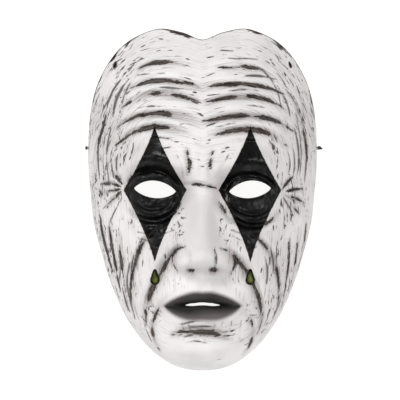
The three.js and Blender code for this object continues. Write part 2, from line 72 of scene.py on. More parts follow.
# Cord and knots
CORD_DIAMETER = 1.6
KNOT_RADIUS = 1.5
TAIL_LENGTH = 2.4
GAP = 0.3

# Grid cells across and up the face, outside and inside
OUTER_CELLS = (256, 300)
INNER_CELLS = (112, 132)

# Camera: straight above the mask, with the top of the picture towards the forehead
PICTURE_PIXELS = 400
MASK_PIXELS_TALL = 340
MASK_CENTRE_PIXELS_RIGHT = 2.5
CAMERA_HEIGHT = 1.6
OUTLINE_HEIGHT = 0.03  # height above the floor of the widest part of the outline
SENSOR_MM = 36.0
CAMERA_REACH = 20.0


def through(pairs):
    """A smooth function through (at, value) pairs, flat at both ends and wherever it turns."""
    at, value = np.array(pairs, float).T
    slope = np.zeros(len(at))
    before, after = np.diff(value)[:-1], np.diff(value)[1:]
    slope[1:-1] = np.where(before * after > 0, (before + after) / (at[2:] - at[:-2]), 0)

    def follow(t):
        t = np.clip(t, at[0], at[-1])
        i = np.clip(np.searchsorted(at, t, side="right") - 1, 0, len(at) - 2)
        span = at[i + 1] - at[i]
        q = (t - at[i]) / span
        back = 1 - q
        return ((1 + 2 * q) * back**2 * value[i] + q * back**2 * span * slope[i]
                + q * q * (3 - 2 * q) * value[i + 1] - q * q * back * span * slope[i + 1])

    return follow


def bell(distance, width):
    return np.exp(-((distance / width) ** 2))


def lengths(vectors):
    return np.linalg.norm(vectors, axis=-1)


def unit(vectors):
    return vectors / np.maximum(np.linalg.norm(vectors, axis=-1, keepdims=True), 1e-9)


def step_up(value, low, high):
    """0 below low, 1 above high, smooth between."""
    t = np.clip((value - low) / (high - low), 0, 1)
    return t * t * (3 - 2 * t)


# Outline seen from the front: radius by angle, from the chin at -90 degrees up to the dip at the top
rim_radius = through([(-90, 122.5), (-81.5, 121.2), (-72, 115), (-60, 104.5), (-45, 92.5), (-27, 83.5),
                      (-4, 81.3), (16, 87), (34, 99.7), (50, 115), (63, 125.1), (74, 127.1), (83, 120.8),
                      (90, 114.4)])
# Height of the back edge: on the floor at the sides, lifted under the chin
rim_lift = through([(-90, 30), (-75, 27), (-62, 14), (-48, 2), (-42, 0), (90, 0)])
# The head's own outline over the mask's: the mask stops short of it above the temples
head_reach = through([(-90, 1), (29, 1), (41, 1.035), (53, 1.1), (64, 1.16), (75, 1.21), (90, 1.27)])
# Middle profile of the face without nose and lips, by height above the chin
profile = through([(0, 78), (14, 82), (30, 77), (49, 75), (72, 72), (97, 71), (130, 73), (150, 77),
                   (172, 80), (197, 79), (222, 73), (248, 62)])
# Nose by height above its base: how far it stands out, and half its width
nose_rise = through([(-11.5, 0), (-6, 0.8), (-3, 4), (-0.5, 10), (2.5, 18.5), (7, 24.5), (12, 26),
                     (19.5, 22.5), (33.5, 15.5), (48.5, 8), (56.5, 4), (66.5, 0)])
nose_half_width = through([(-11.5, 12.5), (2.5, 12), (10.5, 11.5), (20.5, 9.8), (32.5, 8.2), (48.5, 8),
                           (66.5, 10)])

# Broad swellings and hollows: place, half sizes, rise, turn in degrees and squareness
SINGLE_SWELLINGS = {
    "glabella": ((0, BROW_Y - 3), (13, 11), 2.4, 0, 1),
    "muzzle": ((0, MOUTH_Y + 3), (27, 20), 8, 0, 1.2),
    "chin": ((0, CHIN_Y + 16), (17, 12), 7, 0, 1.25),
    "nose tip": ((0, NOSE_Y + 10), (9, 8.5), 2.6, 0, 1.2),
    "philtrum": ((0, NOSE_Y - 9), (3, 7), -1.3, 0, 1),
}
PAIRED_SWELLINGS = {  # on both sides
    "eye socket": ((EYE_X - 2.5, EYE_Y + 2), (21, 12.5), -9.5, 0, 1),
    "inner corner": ((15, EYE_Y), (6.5, 10), -5.5, 0, 1),
    "eyeball": ((EYE_X, EYE_Y - 0.5), (18.5, 12.2), 8, 0, 1.7),
    "upper lid": ((EYE_X, EYE_Y + 9.5), (17, 3.6), 1.2, 0, 1),
    "lower lid": ((EYE_X, EYE_Y - 15.5), (17, 6), 1.6, 0, 1),
    "temple": ((70, BROW_Y + 16), (13, 22), -5, 0, 1),
    "cheekbone": ((55, EYE_Y - 22), (18, 11), 6, -22, 1),
    "cheek": ((33, NOSE_Y + 13), (13, 15), 5, 25, 1),
    "cheek hollow": ((53, NOSE_Y - 7), (12, 20), -5, 15, 1),
    "mouth corner": ((29.5, MOUTH_Y - 2), (5, 5.5), -2.6, 0, 1),
    "jowl": ((39, CHIN_Y + 27), (11, 13), 3.6, 0, 1),
    "nose wing": ((13.2, NOSE_Y + 6.6), (6.8, 7.6), 8.6, 0, 1.7),
    "philtrum ridge": ((5.2, NOSE_Y - 9.5), (2.2, 7), 0.8, 0, 1),
}
NOSTRIL = ((7.4, NOSE_Y - 0.2), (3.9, 2.4), -5, 0, 1.3)


def swell(swelling, x, y):
    at, size, rise, turn, square = swelling
    cos, sin = math.cos(math.radians(turn)), math.sin(math.radians(turn))
    dx, dy = x - at[0], y - at[1]
    along = (dx * cos + dy * sin) / size[0]
    across = (-dx * sin + dy * cos) / size[1]
    return rise * np.exp(-((along**2 + across**2) ** square))


PATH_STEPS = 20  # straight pieces in the path of a wrinkle


def curve_points(points, steps):
    """Points on one smooth centripetal curve through the given ones, evenly spread over its spans."""
    points = np.array(points, float)
    ends = np.vstack([2 * points[0] - points[1], points, 2 * points[-1] - points[-2]])
    gaps = lengths(np.diff(ends, axis=0))[:, None] ** 0.5
    at = np.linspace(0, len(points) - 1, steps + 1)
    i = np.clip(at.astype(int), 0, len(points) - 2)
    t = (at - i)[:, None]
    before, first, second, after = (ends[i + k] for k in range(4))
    gap_before, gap, gap_after = (gaps[i + k] for k in range(3))
    way = second - first
    leave = gap * ((first - before) / gap_before - (second - before) / (gap_before + gap) + way / gap)
    arrive = gap * (way / gap - (after - first) / (gap + gap_after) + (after - second) / gap_after)
    return first + leave * t + (3 * way - 2 * leave - arrive) * t**2 + (leave + arrive - 2 * way) * t**3


def wrinkle(path, depth, width, ridge=0.0, single=False, long=False, paint=1.0):
    """One wrinkle: its path, depth, half width, the soft ridge beside it, and how dark its wash is."""
    return {"points": curve_points(path, PATH_STEPS), "depth": depth, "width": width, "ridge": ridge,
            "single": single, "long": long, "paint": paint}


# Forehead furrows: height over the brow, where each begins and ends, its arch, depth and ridge
FURROWS = (
    (18, 8, 62, 7.5, 2.4, 1),
    (29.5, 0, 66, 5.4, 2.8, 0.9),
    (42.5, 3, 59, 6, 2.5, 0.8),
    (54, 0, 57, 3.2, 2.1, 0.65),
    (67, 10, 47, 3.4, 1.6, 0.5),
)
ARCH_SPAN = 68


def furrows():
    made = []
    for rise, first, last, arch, depth, ridge in FURROWS:
        path = []
        for share in (0, 0.25, 0.5, 0.75, 1):
            x = first + (last - first) * share
            fall = (9 - rise / 15) * share**4
            path.append((x, BROW_Y + rise + arch * math.sin(math.pi * x / ARCH_SPAN) - fall))
        made.append(wrinkle(path, depth, 2.2, ridge=ridge, paint=1.2))
    return made


FAN_X, FAN_Y = EYE_X + 21, EYE_Y - 1  # where the lines at the outer corner of the eye spread from
FAN_SAG = 0.012


def fan_line(degrees, reaches):
    way = math.radians(degrees)
    return [(FAN_X + reach * math.cos(way), FAN_Y + reach * math.sin(way) - FAN_SAG * reach**2)
            for reach in reaches]


def crows_feet():
    return [wrinkle(fan_line(angle, (4, 12, 21 - i)), 2, 1.7, ridge=0.6)
            for i, angle in enumerate((58, 24, -6, -36))]


def side_lines():
    made = []
    for i in range(3):
        path = [(75 - 7 * i - (8 - i) * share**1.7, EYE_Y - 18 - 8 * i - (42 + 6 * i) * share)
                for share in (0, 0.33, 0.67, 1)]
        made.append(wrinkle(path, 2, 1.9, ridge=0.5))
    return made


WRINKLES = furrows() + crows_feet() + side_lines() + [
    # The brow: a ridge, with no wash in it
    wrinkle([(5, BROW_Y - 5.5), (20, BROW_Y + 0.5), (38, BROW_Y + 3.5), (55, BROW_Y - 2.5),
             (67, BROW_Y - 17.5)], -5, 8.5, long=True, paint=0),
    # Over and under the eye's lids, and under the bag below them
    wrinkle([(16.5, EYE_Y + 2), (24, EYE_Y + 11), (36, EYE_Y + 13), (48, EYE_Y + 8), (54, EYE_Y - 1)],
            2.3, 1.7),
    wrinkle([(19, EYE_Y - 6), (27, EYE_Y - 13.5), (38, EYE_Y - 15), (49, EYE_Y - 9.5)], 1.2, 1.5),
    wrinkle([(13, EYE_Y - 7), (19, EYE_Y - 17), (31, EYE_Y - 23.5), (44, EYE_Y - 22), (54, EYE_Y - 14)],
            2.4, 2.2, ridge=0.8),
    # Between the brows, and across the root of the nose
    wrinkle([(8.5, BROW_Y - 9), (7, BROW_Y), (9, BROW_Y + 11)], 1.5, 1.9, ridge=0.5),
    wrinkle([(-11, EYE_Y + 3), (0, EYE_Y + 5), (11, EYE_Y + 3)], 1.6, 1.6, ridge=0.4, single=True),
    # Round the wing of the nose, and beside its tip
    wrinkle([(11, NOSE_Y + 15.5), (18.5, NOSE_Y + 12.5), (21.8, NOSE_Y + 5.5), (18, NOSE_Y - 2)], 2.2, 1.9),
    wrinkle([(7.6, NOSE_Y + 15.5), (8.8, NOSE_Y + 8.5), (7.8, NOSE_Y + 2.5)], 1.3, 1.8, paint=0.4),
    # From the nose past the mouth, and down the cheek
    wrinkle([(20, NOSE_Y + 11.5), (28, NOSE_Y + 0.5), (36, NOSE_Y - 13.5), (40.5, MOUTH_Y - 4),
             (40, MOUTH_Y - 17)], 3.8, 3.1, ridge=1.5),
    wrinkle([(31, EYE_Y - 27), (43, EYE_Y - 39), (51, NOSE_Y - 1.5), (53, MOUTH_Y + 3), (49, MOUTH_Y - 13)],
            2.6, 2.2, ridge=1),
    # Down from the corner of the mouth, and across between lip and chin
    wrinkle([(31, MOUTH_Y - 3), (35, MOUTH_Y - 14), (34, MOUTH_Y - 26), (29, MOUTH_Y - 35)],
            2.2, 2, ridge=0.7),
    wrinkle([(-21, MOUTH_Y - 22), (-12, MOUTH_Y - 18.5), (0, MOUTH_Y - 17.5), (12, MOUTH_Y - 18.5),
             (21, MOUTH_Y - 22)], 3.2, 3, single=True),
    # At the temple
    wrinkle([(70, BROW_Y + 34), (75, BROW_Y + 14), (77, BROW_Y - 3)], 1.6, 1.8, ridge=0.4),
]


def nearest(points, x, y, reach):
    """Distance to a path and the share along it, worked out only within reach of it."""
    distance = np.full(x.shape, 1e6)
    share = np.zeros(x.shape)
    low, high = points.min(0) - reach, points.max(0) + reach
    near = (x > low[0]) & (x < high[0]) & (y > low[1]) & (y < high[1])
    px, py = x[near], y[near]
    best, at = distance[near], share[near]
    for i in range(len(points) - 1):
        dx, dy = points[i + 1] - points[i]
        t = np.clip(((px - points[i, 0]) * dx + (py - points[i, 1]) * dy) / (dx * dx + dy * dy), 0, 1)
        d = np.hypot(px - points[i, 0] - t * dx, py - points[i, 1] - t * dy)
        closer = d < best
        best = np.where(closer, d, best)
        at = np.where(closer, (i + t) / (len(points) - 1), at)
    distance[near], share[near] = best, at
    return distance, share, near


def drift(x, y):
    """Left and right wrinkles drift a little apart, as on a hand-modelled face."""
    return (x + 1.3 * np.sin(y / 23 + 0.7) + 0.8 * np.sin(x / 19 + 2),
            y + 1.7 * np.sin(x / 29 + 0.4) + 0.9 * np.sin(y / 17 + x / 41))


def end_fade(share, long):
    swell_to = np.sin(np.pi * (0.92 * share + 0.04))
    return 0.55 + 0.45 * swell_to if long else swell_to**0.6


def wrinkle_heights(x, y):
    px, py = drift(x, y)
    total = np.zeros(x.shape)
    for one in WRINKLES:
        width = one["width"]
        distance, share, near = nearest(one["points"], px if one["single"] else np.abs(px), py, 5 * width)
        groove = one["depth"] * bell(distance, width)
        banks = one["ridge"] * bell(distance - 2.3 * width, 1.3 * width)
        total += np.where(near, (banks - groove) * end_fade(share, one["long"]), 0)
    return total


LIPS = {"half": 27.0, "upper": 8.6, "lower": 11.0, "upper_roll": 3.4, "lower_roll": 4.6, "part_depth": 3.4,
        "part_width": 1.5}


def lip_line(x):
    return MOUTH_Y - 1.2 * np.clip(np.abs(x) / LIPS["half"], 0, 1) ** 2 + 0.9 * bell(x, 7)


def lip_shape(x, y):
    """Distance from the line between the lips, the lip's thickness there, and the share of its half width."""
    share = np.clip(np.abs(x) / LIPS["half"], 0, 1)
    bow = 1 - 0.14 * bell(x, 4.2)
    upper = LIPS["upper"] * (1 - share**2.1) ** 0.9 * bow + 0.4
    lower = LIPS["lower"] * (1 - share**2.4) ** 0.85 + 0.4
    return np.abs(y - lip_line(x)), np.where(y > lip_line(x), upper, lower), share


def lip_heights(x, y):
    away, thickness, share = lip_shape(x, y)
    roll = np.where(y > lip_line(x), LIPS["upper_roll"], LIPS["lower_roll"])
    roll = roll * np.clip(1 - (away / thickness / 1.3) ** 2, 0, 1) ** 1.4
    return (roll - LIPS["part_depth"] * bell(away, LIPS["part_width"])) * (1 - share**3)


def nose_heights(x, y):
    half = nose_half_width(y - NOSE_Y)
    ridge = np.exp(-(np.abs(x / half) ** 2.6))
    foot = bell(x, 2 * half)
    return nose_rise(y - NOSE_Y) * (0.68 * ridge + 0.32 * foot)


def outline(x, y):
    """The angle of a place, the rim's distance in that direction, and how far the head reaches over it."""
    angle = np.degrees(np.arctan2(y, np.abs(x)))
    return angle, rim_radius(angle), np.maximum(1, head_reach(angle))


def face_height(x, y, smooth=False):
    """Height of the face over the floor. The smooth version leaves out what the wall doesn't follow."""
    angle, rim, reach = outline(x, y)
    lift = rim_lift(angle)
    share = np.hypot(x, y) / (rim * reach)
    sharpness = 3.6 + 6.5 * bell(angle + 90, 36)
    turn_back = np.sqrt(np.clip(1 - share**sharpness, 0, 1))
    side_fall = BACK_REACH * (2 * x / WIDTH) ** 2 + 6 * bell(y - MOUTH_Y, 40) * (x / 60) ** 2
    front = profile(y - CHIN_Y) - side_fall + nose_heights(x, y)
    for swelling in SINGLE_SWELLINGS.values():
        front += swell(swelling, x, y)
    for swelling in PAIRED_SWELLINGS.values():
        front += swell(swelling, np.abs(x), y)
    if not smooth:
        front += lip_heights(x, y) + wrinkle_heights(x, y) + swell(NOSTRIL, np.abs(x), y)
    return lift + (front - lift) * turn_back


def face_places(cells):
    """Grid of places on the shell, spread evenly down the side walls."""
    u, v = np.meshgrid(np.linspace(-1, 1, cells[0] + 1), np.linspace(-1, 1, cells[1] + 1), indexing="ij")
    disc_x, disc_y = u * np.sqrt(1 - v * v / 2), v * np.sqrt(1 - u * u / 2)
    share = np.minimum(1, np.hypot(disc_x, disc_y))
    direction = np.arctan2(disc_y, disc_x)
    _, rim, reach = outline(disc_x, disc_y)
    radius = rim * reach * np.sin(share * np.arcsin(1 / reach))
    return radius * np.cos(direction), radius * np.sin(direction)


def grid_normals(points):
    across = np.gradient(points, axis=0)
    up = np.gradient(points, axis=1)
    normal = np.cross(across, up)
    # At the grid's four corners its two directions run together, so the normal there is that of one cell in
    normal[[0, 0, -1, -1], [0, -1, 0, -1]] = normal[[1, 1, -2, -2], [1, -2, 1, -2]]
    return unit(normal)


def smooth_height(x, y):
    return face_height(x, y, smooth=True)


def height_at(x, y):
    return float(face_height(np.array([x]), np.array([y]))[0])


def slopes(field, x, y, near):
    """How steeply a field over the face rises along x and along y."""
    return ((field(x + near, y) - field(x - near, y)) / (2 * near),
            (field(x, y + near) - field(x, y - near)) / (2 * near))


SLOPE_STEP = 0.5
HALVINGS = 40
WALLS_FROM = 40.0  # both side walls stand further out than this


def wall_x(y, z):
    """Where the side wall stands at a height, found by halving."""
    inside, outside = WALLS_FROM, WIDTH / 2
    for _ in range(HALVINGS):
        middle = (inside + outside) / 2
        if height_at(middle, y) > z:
            inside = middle
        else:
            outside = middle
    return inside


STRAP_WALL_X = wall_x(STRAP_Y, STRAP_Z)

# Make-up: a black four-pointed patch round each eye, a green tear below it and blackened lips
PATCH = {"half_width": 22.5, "above": 46.0, "below": 52.0, "hollow": 1.3}
TEAR = {"y": EYE_Y - 63.5, "radius": 2.4, "tip_radius": 0.2, "length": 6.8}


def patch_field(x, y):
    """Distance outside the edge of the nearer eye's black patch, negative inside it."""
    across = np.abs(np.abs(x) - EYE_X)
    rise = y - EYE_Y
    length = np.where(rise > 0, PATCH["above"], PATCH["below"])
    share = np.clip(1 - np.abs(rise) / length, 0, 1)
    half = PATCH["half_width"] * share ** PATCH["hollow"]
    slope = PATCH["hollow"] * PATCH["half_width"] * share ** (PATCH["hollow"] - 1) / length
    beside = (across - half) / np.hypot(1, slope)
    past_tip = np.maximum(0, np.abs(rise) - length)
    return np.where(past_tip > 0, np.hypot(across, past_tip), beside)


def tear_field(x, y):
    """Distance outside the nearer tear, which is round below and pointed above."""
    big, small, length = TEAR["radius"], TEAR["tip_radius"], TEAR["length"]
    across = np.abs(np.abs(x) - EYE_X)
    rise = y - TEAR["y"]
    lean = (big - small) / length
    square = math.sqrt(1 - lean * lean)
    along = -lean * across + square * rise
    round_end = np.hypot(across, rise) - big
    point_end = np.hypot(across, rise - length) - small
    return np.where(along < 0, round_end, np.where(along > square * length, point_end,
                                                   across * square + rise * lean - big))


def lip_field(x, y):
    """Distance outside the painted edge of the lips."""
    away, thickness, _ = lip_shape(x, y)
    past_corner = np.maximum(0, np.abs(x) - LIPS["half"])
    return np.where(past_corner > 0, np.hypot(past_corner, away), away - thickness)


def unroll(x, y, back=False):
    """The place as if the shell were pressed flat, as far from the middle as along the wall, or back."""
    radius = np.hypot(x, y)
    _, rim, reach = outline(x, y)
    whole = rim * reach
    share = radius / whole
    turned = np.sin(np.clip(share, 0, math.pi / 2)) if back else np.arcsin(np.clip(share, 0, 1))
    stretch = whole * turned / np.maximum(radius, 1e-6)
    return x * stretch, y * stretch


def rim_distance(x, y):
    """How far a place on the flattened shell lies inside its edge."""
    _, rim, reach = outline(x, y)
    return rim * reach * np.arcsin(1 / reach) - np.hypot(x, y)


def grain(x, y):
    """How far across the brushwork's grain a place lies: arched over the brows, upright at the sides."""
    across = np.abs(x)
    arch = (6.5 * np.sin(np.pi * np.minimum(across, ARCH_SPAN) / ARCH_SPAN)
            - 7 * (np.minimum(across, 90) / 64) ** 4)
    up = np.maximum(0, y - arch - BROW_Y + 30)
    down = np.maximum(0, MOUTH_Y + 10 - y)
    return (up**4 + down**4 + across**4) ** 0.25


def grain_direction(x, y):
    slope_x, slope_y = slopes(grain, x, y, SLOPE_STEP)
    length = np.hypot(slope_x, slope_y) + 1e-9
    return -slope_y / length, slope_x / length


# Soft spots on the face: strength, middle and half width across it, middle and half height up it
NICKED = ((0.5, 0, 20, CHIN_Y + 32, 6), (0.5, 61, 15, BROW_Y + 44, 36))
NICKED_LEFT = ((0.7, -68, 20, EYE_Y - 8, 70),)
WIPED = ((0.7, 52, 24, CHIN_Y + 45, 32), (-0.3, -62, 22, EYE_Y - 12, 70))  # less wiped where negative
STIPPLED = ((1, 17, 6, NOSE_Y + 34, 17), (0.8, 34, 6, MOUTH_Y - 6, 10), (0.8, 0, 22, MOUTH_Y - 21, 5))
# The shaded spots: air-brushed grey that is mostly painted shade, in recesses, under the nose and lip, and on
# the nose and temples
SHADED = (
    (0.75, 15, 7, EYE_Y + 1, 13),
    (0.5, 19, 5, NOSE_Y + 6, 12),
    (0.75, 8, 8, NOSE_Y - 2.5, 4),
    (0.8, 28, 7, MOUTH_Y - 2, 8),
    (0.3, 56, 10, NOSE_Y - 8, 24),
    (0.3, 68, 14, BROW_Y + 22, 34),
)
SHADED_SINGLY = (
    (0.55, 0, 20, MOUTH_Y - 15, 4.5),
    (0.25, -62, 18, BROW_Y + 26, 34),
    (0.25, 0, 11, NOSE_Y + 34, 30),
)


def spots(x, y, table):
    return sum(strength * bell(x - middle_x, wide) * bell(y - middle_y, high)
               for strength, middle_x, wide, middle_y, high in table)


# Fine relief that the solid leaves out: nicks cut with the modelling tool, along the grain
NICKS = 860
NICK_SEED = 11
NICK_SPAN = ((-140, 140), (-195, 150))
NICK_INSET = 2.0  # least distance from the rim
NICK_TURN = 0.16  # radians off the grain
NICK_HALF_LENGTH, NICK_STRETCHES = (1.2, 2.6), (1, 1, 1.6, 2.8)
NICK_HALF_WIDTH, NICK_DEPTH = (0.22, 0.50), (0.25, 0.7)
NICK_REACH = 6.0


def nick_weight(x, y):
    """Where the nicks are thick: the sides, cheeks and temples, and not on paint, lips, nose or chin."""
    across = np.abs(x)
    weight = 0.16 + 0.5 * step_up(across, 38, 66) + spots(across, y, NICKED) + spots(x, y, NICKED_LEFT)
    weight *= step_up(patch_field(x, y), 1.5, 5) * step_up(lip_field(x, y), 2, 6)
    weight *= step_up(tear_field(x, y), 1, 3)
    nose_side = step_up(across, 12, 22)
    in_nose = step_up(y, NOSE_Y - 14, NOSE_Y - 8) * step_up(BROW_Y - y, 0, 10)
    on_chin = bell(x, 36) * step_up(CHIN_Y + 27 - y, 0, 8)
    return weight * (1 - in_nose * (1 - nose_side)) * (1 - 0.97 * on_chin)


def make_nicks():
    """Seeded nicks on the flattened shell: place, direction, half length, half width and depth."""
    random = np.random.default_rng(NICK_SEED)
    made = []
    while len(made) < NICKS:
        x, y = (random.uniform(*span) for span in NICK_SPAN)
        angle = random.normal(0, NICK_TURN)
        half_length = random.uniform(*NICK_HALF_LENGTH) * random.choice(NICK_STRETCHES)
        half_width = random.uniform(*NICK_HALF_WIDTH)
        depth = random.uniform(*NICK_DEPTH)
        chance = random.uniform()
        weight = nick_weight(*unroll(np.array(x), np.array(y), back=True))
        if rim_distance(x, y) < NICK_INSET or chance > weight:
            continue
        way_x, way_y = (float(part) for part in grain_direction(x, y))
        along_x = way_x * math.cos(angle) - way_y * math.sin(angle)
        along_y = way_x * math.sin(angle) + way_y * math.cos(angle)
        made.append((x, y, along_x, along_y, half_length, half_width, depth))
    return made


NICK_LIST = make_nicks()


def nick_fields(x, y):
    """Depth of the nicks, and the distance outside the paint that settled in them, by flattened place."""
    depth = np.zeros(x.shape)
    outside = np.full(x.shape, NICK_REACH)
    for at_x, at_y, way_x, way_y, half_length, half_width, deep in NICK_LIST:
        reach = half_length + NICK_REACH
        near = (np.abs(x - at_x) < reach) & (np.abs(y - at_y) < reach)
        dx, dy = x[near] - at_x, y[near] - at_y
        along = dx * way_x + dy * way_y
        across = np.abs(-dx * way_y + dy * way_x)
        taper = np.clip(1 - (along / half_length) ** 2, 0, 1)
        past = np.maximum(0, np.abs(along) - half_length)
        depth[near] += deep * taper * bell(across, 1.7 * half_width)
        outside[near] = np.minimum(outside[near], np.hypot(across, past) - half_width * taper**0.7)
    return depth, outside


# Fine lines beside the large wrinkles: how far off each, how deep and how wide
COMPANIONS = ((4.4, 0.45, 0.9), (7.2, 0.3, 0.8))
COMPANION_RIDGE = 0.5  # the least ridge of a wrinkle that has them

# Fine lines of their own
FINE_LINE_SEED = 23
FINE_LINE_WIDTH = 1.0

# How far from its path a wash and a fine line are worked out, and the distance that stands for further off
WASH_REACH, LINE_REACH, FAR = 12, 8, 8.0
WASH_SHARE = 0.56  # of a wrinkle's half width, filled by its wash


def path_from(x, y, *steps):
    """A path that starts at a place and goes on through others, each given from the first."""
    return [(x, y)] + [(x + step_x, y + step_y) for step_x, step_y in steps]


def make_fine_lines():
    """Seeded small wrinkles between the large ones, each side its own."""
    random = np.random.default_rng(FINE_LINE_SEED)
    made = []

    def wobble(amount):
        return random.uniform(-amount, amount)

    def add(side, path, wash, depth=0.7):
        """One line, on the right (1), the left (-1) or across the middle (0), with the wash's half width.

        A wash that is given as a range is mostly thin and seldom bold.
        """
        if isinstance(wash, tuple):
            wash = wash[0] + (wash[1] - wash[0]) * random.uniform() ** 2
        made.append({"points": curve_points(path, PATH_STEPS), "side": side, "depth": depth, "wash": wash})

    for side in (-1, 1):
        for i in range(6):  # on the forehead
            base = BROW_Y + 12 + 12.4 * i + wobble(1.5)
            first = random.uniform(4, 30)
            last = first + random.uniform(14, 30)
            path = []
            for at in np.linspace(first, last, 4):
                arch = (5.5 - 0.8 * i) * math.sin(math.pi * at / ARCH_SPAN) - 6 * (at / ARCH_SPAN) ** 4
                path.append((at, base + arch + wobble(0.5)))
            add(side, path, (0.2, 0.8))
        for i in range(5):  # at the temple
            out = 58 + 3.2 * i + wobble(0.8)
            low, high = BROW_Y - 14 - 3 * i, BROW_Y + 14 + 7 * i
            shares = np.linspace(0.1 + 0.1 * random.uniform(), 0.95, 4)
            path = [(out + 4 * math.sin(math.pi * share), low + (high - low) * share) for share in shares]
            add(side, path, (0.3, 0.9))
        for i in range(4):  # from the upper rim down to the temple
            x, y = 43 + 6.3 * i + wobble(1.2), BROW_Y + 66 - 3 * i + wobble(6)
            add(side, path_from(x, y, (7, -8), (12, -18), (14, -26 + wobble(5))), (0.3, 1.0))
        for angle in (74, 40, 9, -21, -50):  # at the outer corner of the eye
            add(side, fan_line(angle + wobble(6), (5, 11, 17 + wobble(5))), (0.1, 0.4))
        for i in range(3):  # under the eye
            y = EYE_Y - 28 - 5.2 * i
            add(side, [(20 + 3 * i, y), (33, y - 4), (46 - 2 * i, y + wobble(2))], 0.1, depth=0.6)
        for i in range(6):  # down the cheek
            x, y = 42 + 5.4 * i + wobble(1), NOSE_Y + 18 - 6 * i + wobble(5)
            path = path_from(x, y, (3.5 - 0.7 * i, -16), (1 - 2.3 * i, -34 - 3 * i))
            add(side, path, (0.35, 1.0), depth=0.8)
        for i in range(5):  # over the upper lip
            x = 5.5 + 5 * i + wobble(0.8)
            y = MOUTH_Y + 12 + 0.10 * x + wobble(1)
            add(side, [(x, y + 5.5), (x + 0.5, y + 2.5), (x + 1.0 + 0.2 * i, y)], (0, 0.3), depth=0.5)
        for i in range(4):  # under the lower lip
            x = 9 + 6 * i + wobble(1)
            y = MOUTH_Y - 13 + 0.10 * x + wobble(1)
            add(side, path_from(x, y, (-0.5, -3), (-1.5, -6)), 0.1, depth=0.4)
        for i in range(4):  # on the jaw
            x, y = 43.5 + 7 * i + wobble(0.8), CHIN_Y + 42 + 8 * i + wobble(3)
            add(side, path_from(x, y, (-2.5, -10), (-7, -20)), (0.3, 0.9), depth=0.8)
        add(side, [(14, BROW_Y - 10), (14.5, BROW_Y - 2), (18, BROW_Y + 6)], 0.35)
    for i in range(5):  # over the chin
        middle, half = wobble(9), random.uniform(6, 14)
        level = CHIN_Y + 37 - 3.1 * i + wobble(1)
        path = [(middle - half, level - 2 + wobble(1)), (middle, level + wobble(0.8)),
                (middle + half, level - 2 + wobble(1))]
        add(0, path, (0.25, 0.8))
    return made


FINE_LINES = make_fine_lines()


def nostril_wash_and_shade(x, y):
    """Distance outside the dark wash in the nearer nostril, which also paints the shade inside it."""
    (at_x, at_y), (half_width, half_height) = NOSTRIL[:2]
    return (np.hypot((np.abs(x) - at_x) / half_width, (y - at_y) / half_height) - 0.6) * half_height


def levelness(x, y):
    """1 where the shell lies level, towards 0 where it stands upright."""
    slope_x, slope_y = slopes(smooth_height, x, y, SLOPE_STEP)
    return 1 / np.sqrt(1 + slope_x**2 + slope_y**2)


def taper_to(share, power):
    """1 in the middle of a path, 0 at its ends."""
    return np.sin(np.pi * np.clip(share, 0, 1)) ** power


def line_fields(x, y):
    """Distances outside the wash in the wrinkles and in the fine lines, and the depth of all that is fine."""
    px, py = drift(x, y)
    level = levelness(x, y)
    shrink = level**0.45 * (0.5 + 0.5 * step_up(level, 0.1, 0.45))
    lying = step_up(level, 0.15, 0.4)  # fine lines stop short of the upright walls
    wiped = spots(x, y, WIPED)
    # The nostrils' dark wash, which also paints the shade inside them, counts as a wash here
    wash = np.minimum(FAR, nostril_wash_and_shade(x, y))
    fine = np.full(x.shape, FAR)
    depth = np.zeros(x.shape)
    for one in WRINKLES:
        if one["paint"] == 0:
            continue
        distance, share, near = nearest(one["points"], px if one["single"] else np.abs(px), py, WASH_REACH)
        taper = taper_to(share, 0.7)
        outside = distance / shrink + wiped - WASH_SHARE * one["paint"] * one["width"] * taper
        wash = np.where(near, np.minimum(wash, outside), wash)
        if one["ridge"] >= COMPANION_RIDGE:
            for offset, deep, width in COMPANIONS:
                depth += np.where(near, deep * bell(distance - offset, width) * taper, 0)
    for one in FINE_LINES:
        across = x if one["side"] == 0 else one["side"] * x
        distance, share, near = nearest(one["points"], across, y, LINE_REACH)
        taper = lying * taper_to(share, 0.6)
        outside = distance / shrink + 0.5 * wiped - one["wash"] * taper
        fine = np.where(near, np.minimum(fine, outside), fine)
        depth += np.where(near, one["depth"] * bell(distance, FINE_LINE_WIDTH) * taper, 0)
    return wash, fine, depth


def shade_field(x, y):
    """Air-brushed grey, mostly painted shade: in the inner corners of the eyes, beside, under and down the
    nose, at the corners of the mouth, under the lower lip, in the cheeks' hollows, on the temples and side
    walls, and soft round the black patches.
    """
    across = np.abs(x)
    shade = spots(across, y, SHADED) + spots(x, y, SHADED_SINGLY) + 0.18 * step_up(across, 62, 82)
    shade += 0.35 * np.exp(-np.maximum(0, patch_field(x, y)) / 3.5)
    return np.clip(shade, 0, 1)


def stipple_field(x, y):
    """Where the wash was stippled on: beside the nose, at the corners of the mouth and over the chin."""
    return spots(np.abs(x), y, STIPPLED) * step_up(lip_field(x, y), 2.5, 5)


# Each hole's field is the distance outside its edge
EYE_BULGE = 1 / 0.85  # near 1, so that the eye holes are pointed at their corners
MOUTH_CORNER = 0.12
VENT_REACH = 7.0
HOLE_FAR = 50.0
HOLE_SPAN = (-5, 20)


def eye_field(side):
    half = EYE_HOLE["width"] / 2

    def field(points):
        across = side * (points[..., 0] - side * EYE_X) / half
        rise = points[..., 1] - EYE_Y - EYE_HOLE["slant"] * across * half
        height = np.where(rise > 0, EYE_HOLE["above"], EYE_HOLE["below"])
        bulge = np.abs(rise) / height
        value = bulge**EYE_BULGE + across**2 - 1
        slope = np.hypot(2 * across / half, EYE_BULGE * bulge ** (EYE_BULGE - 1) / height)
        return value / np.maximum(slope, 0.05)

    return field


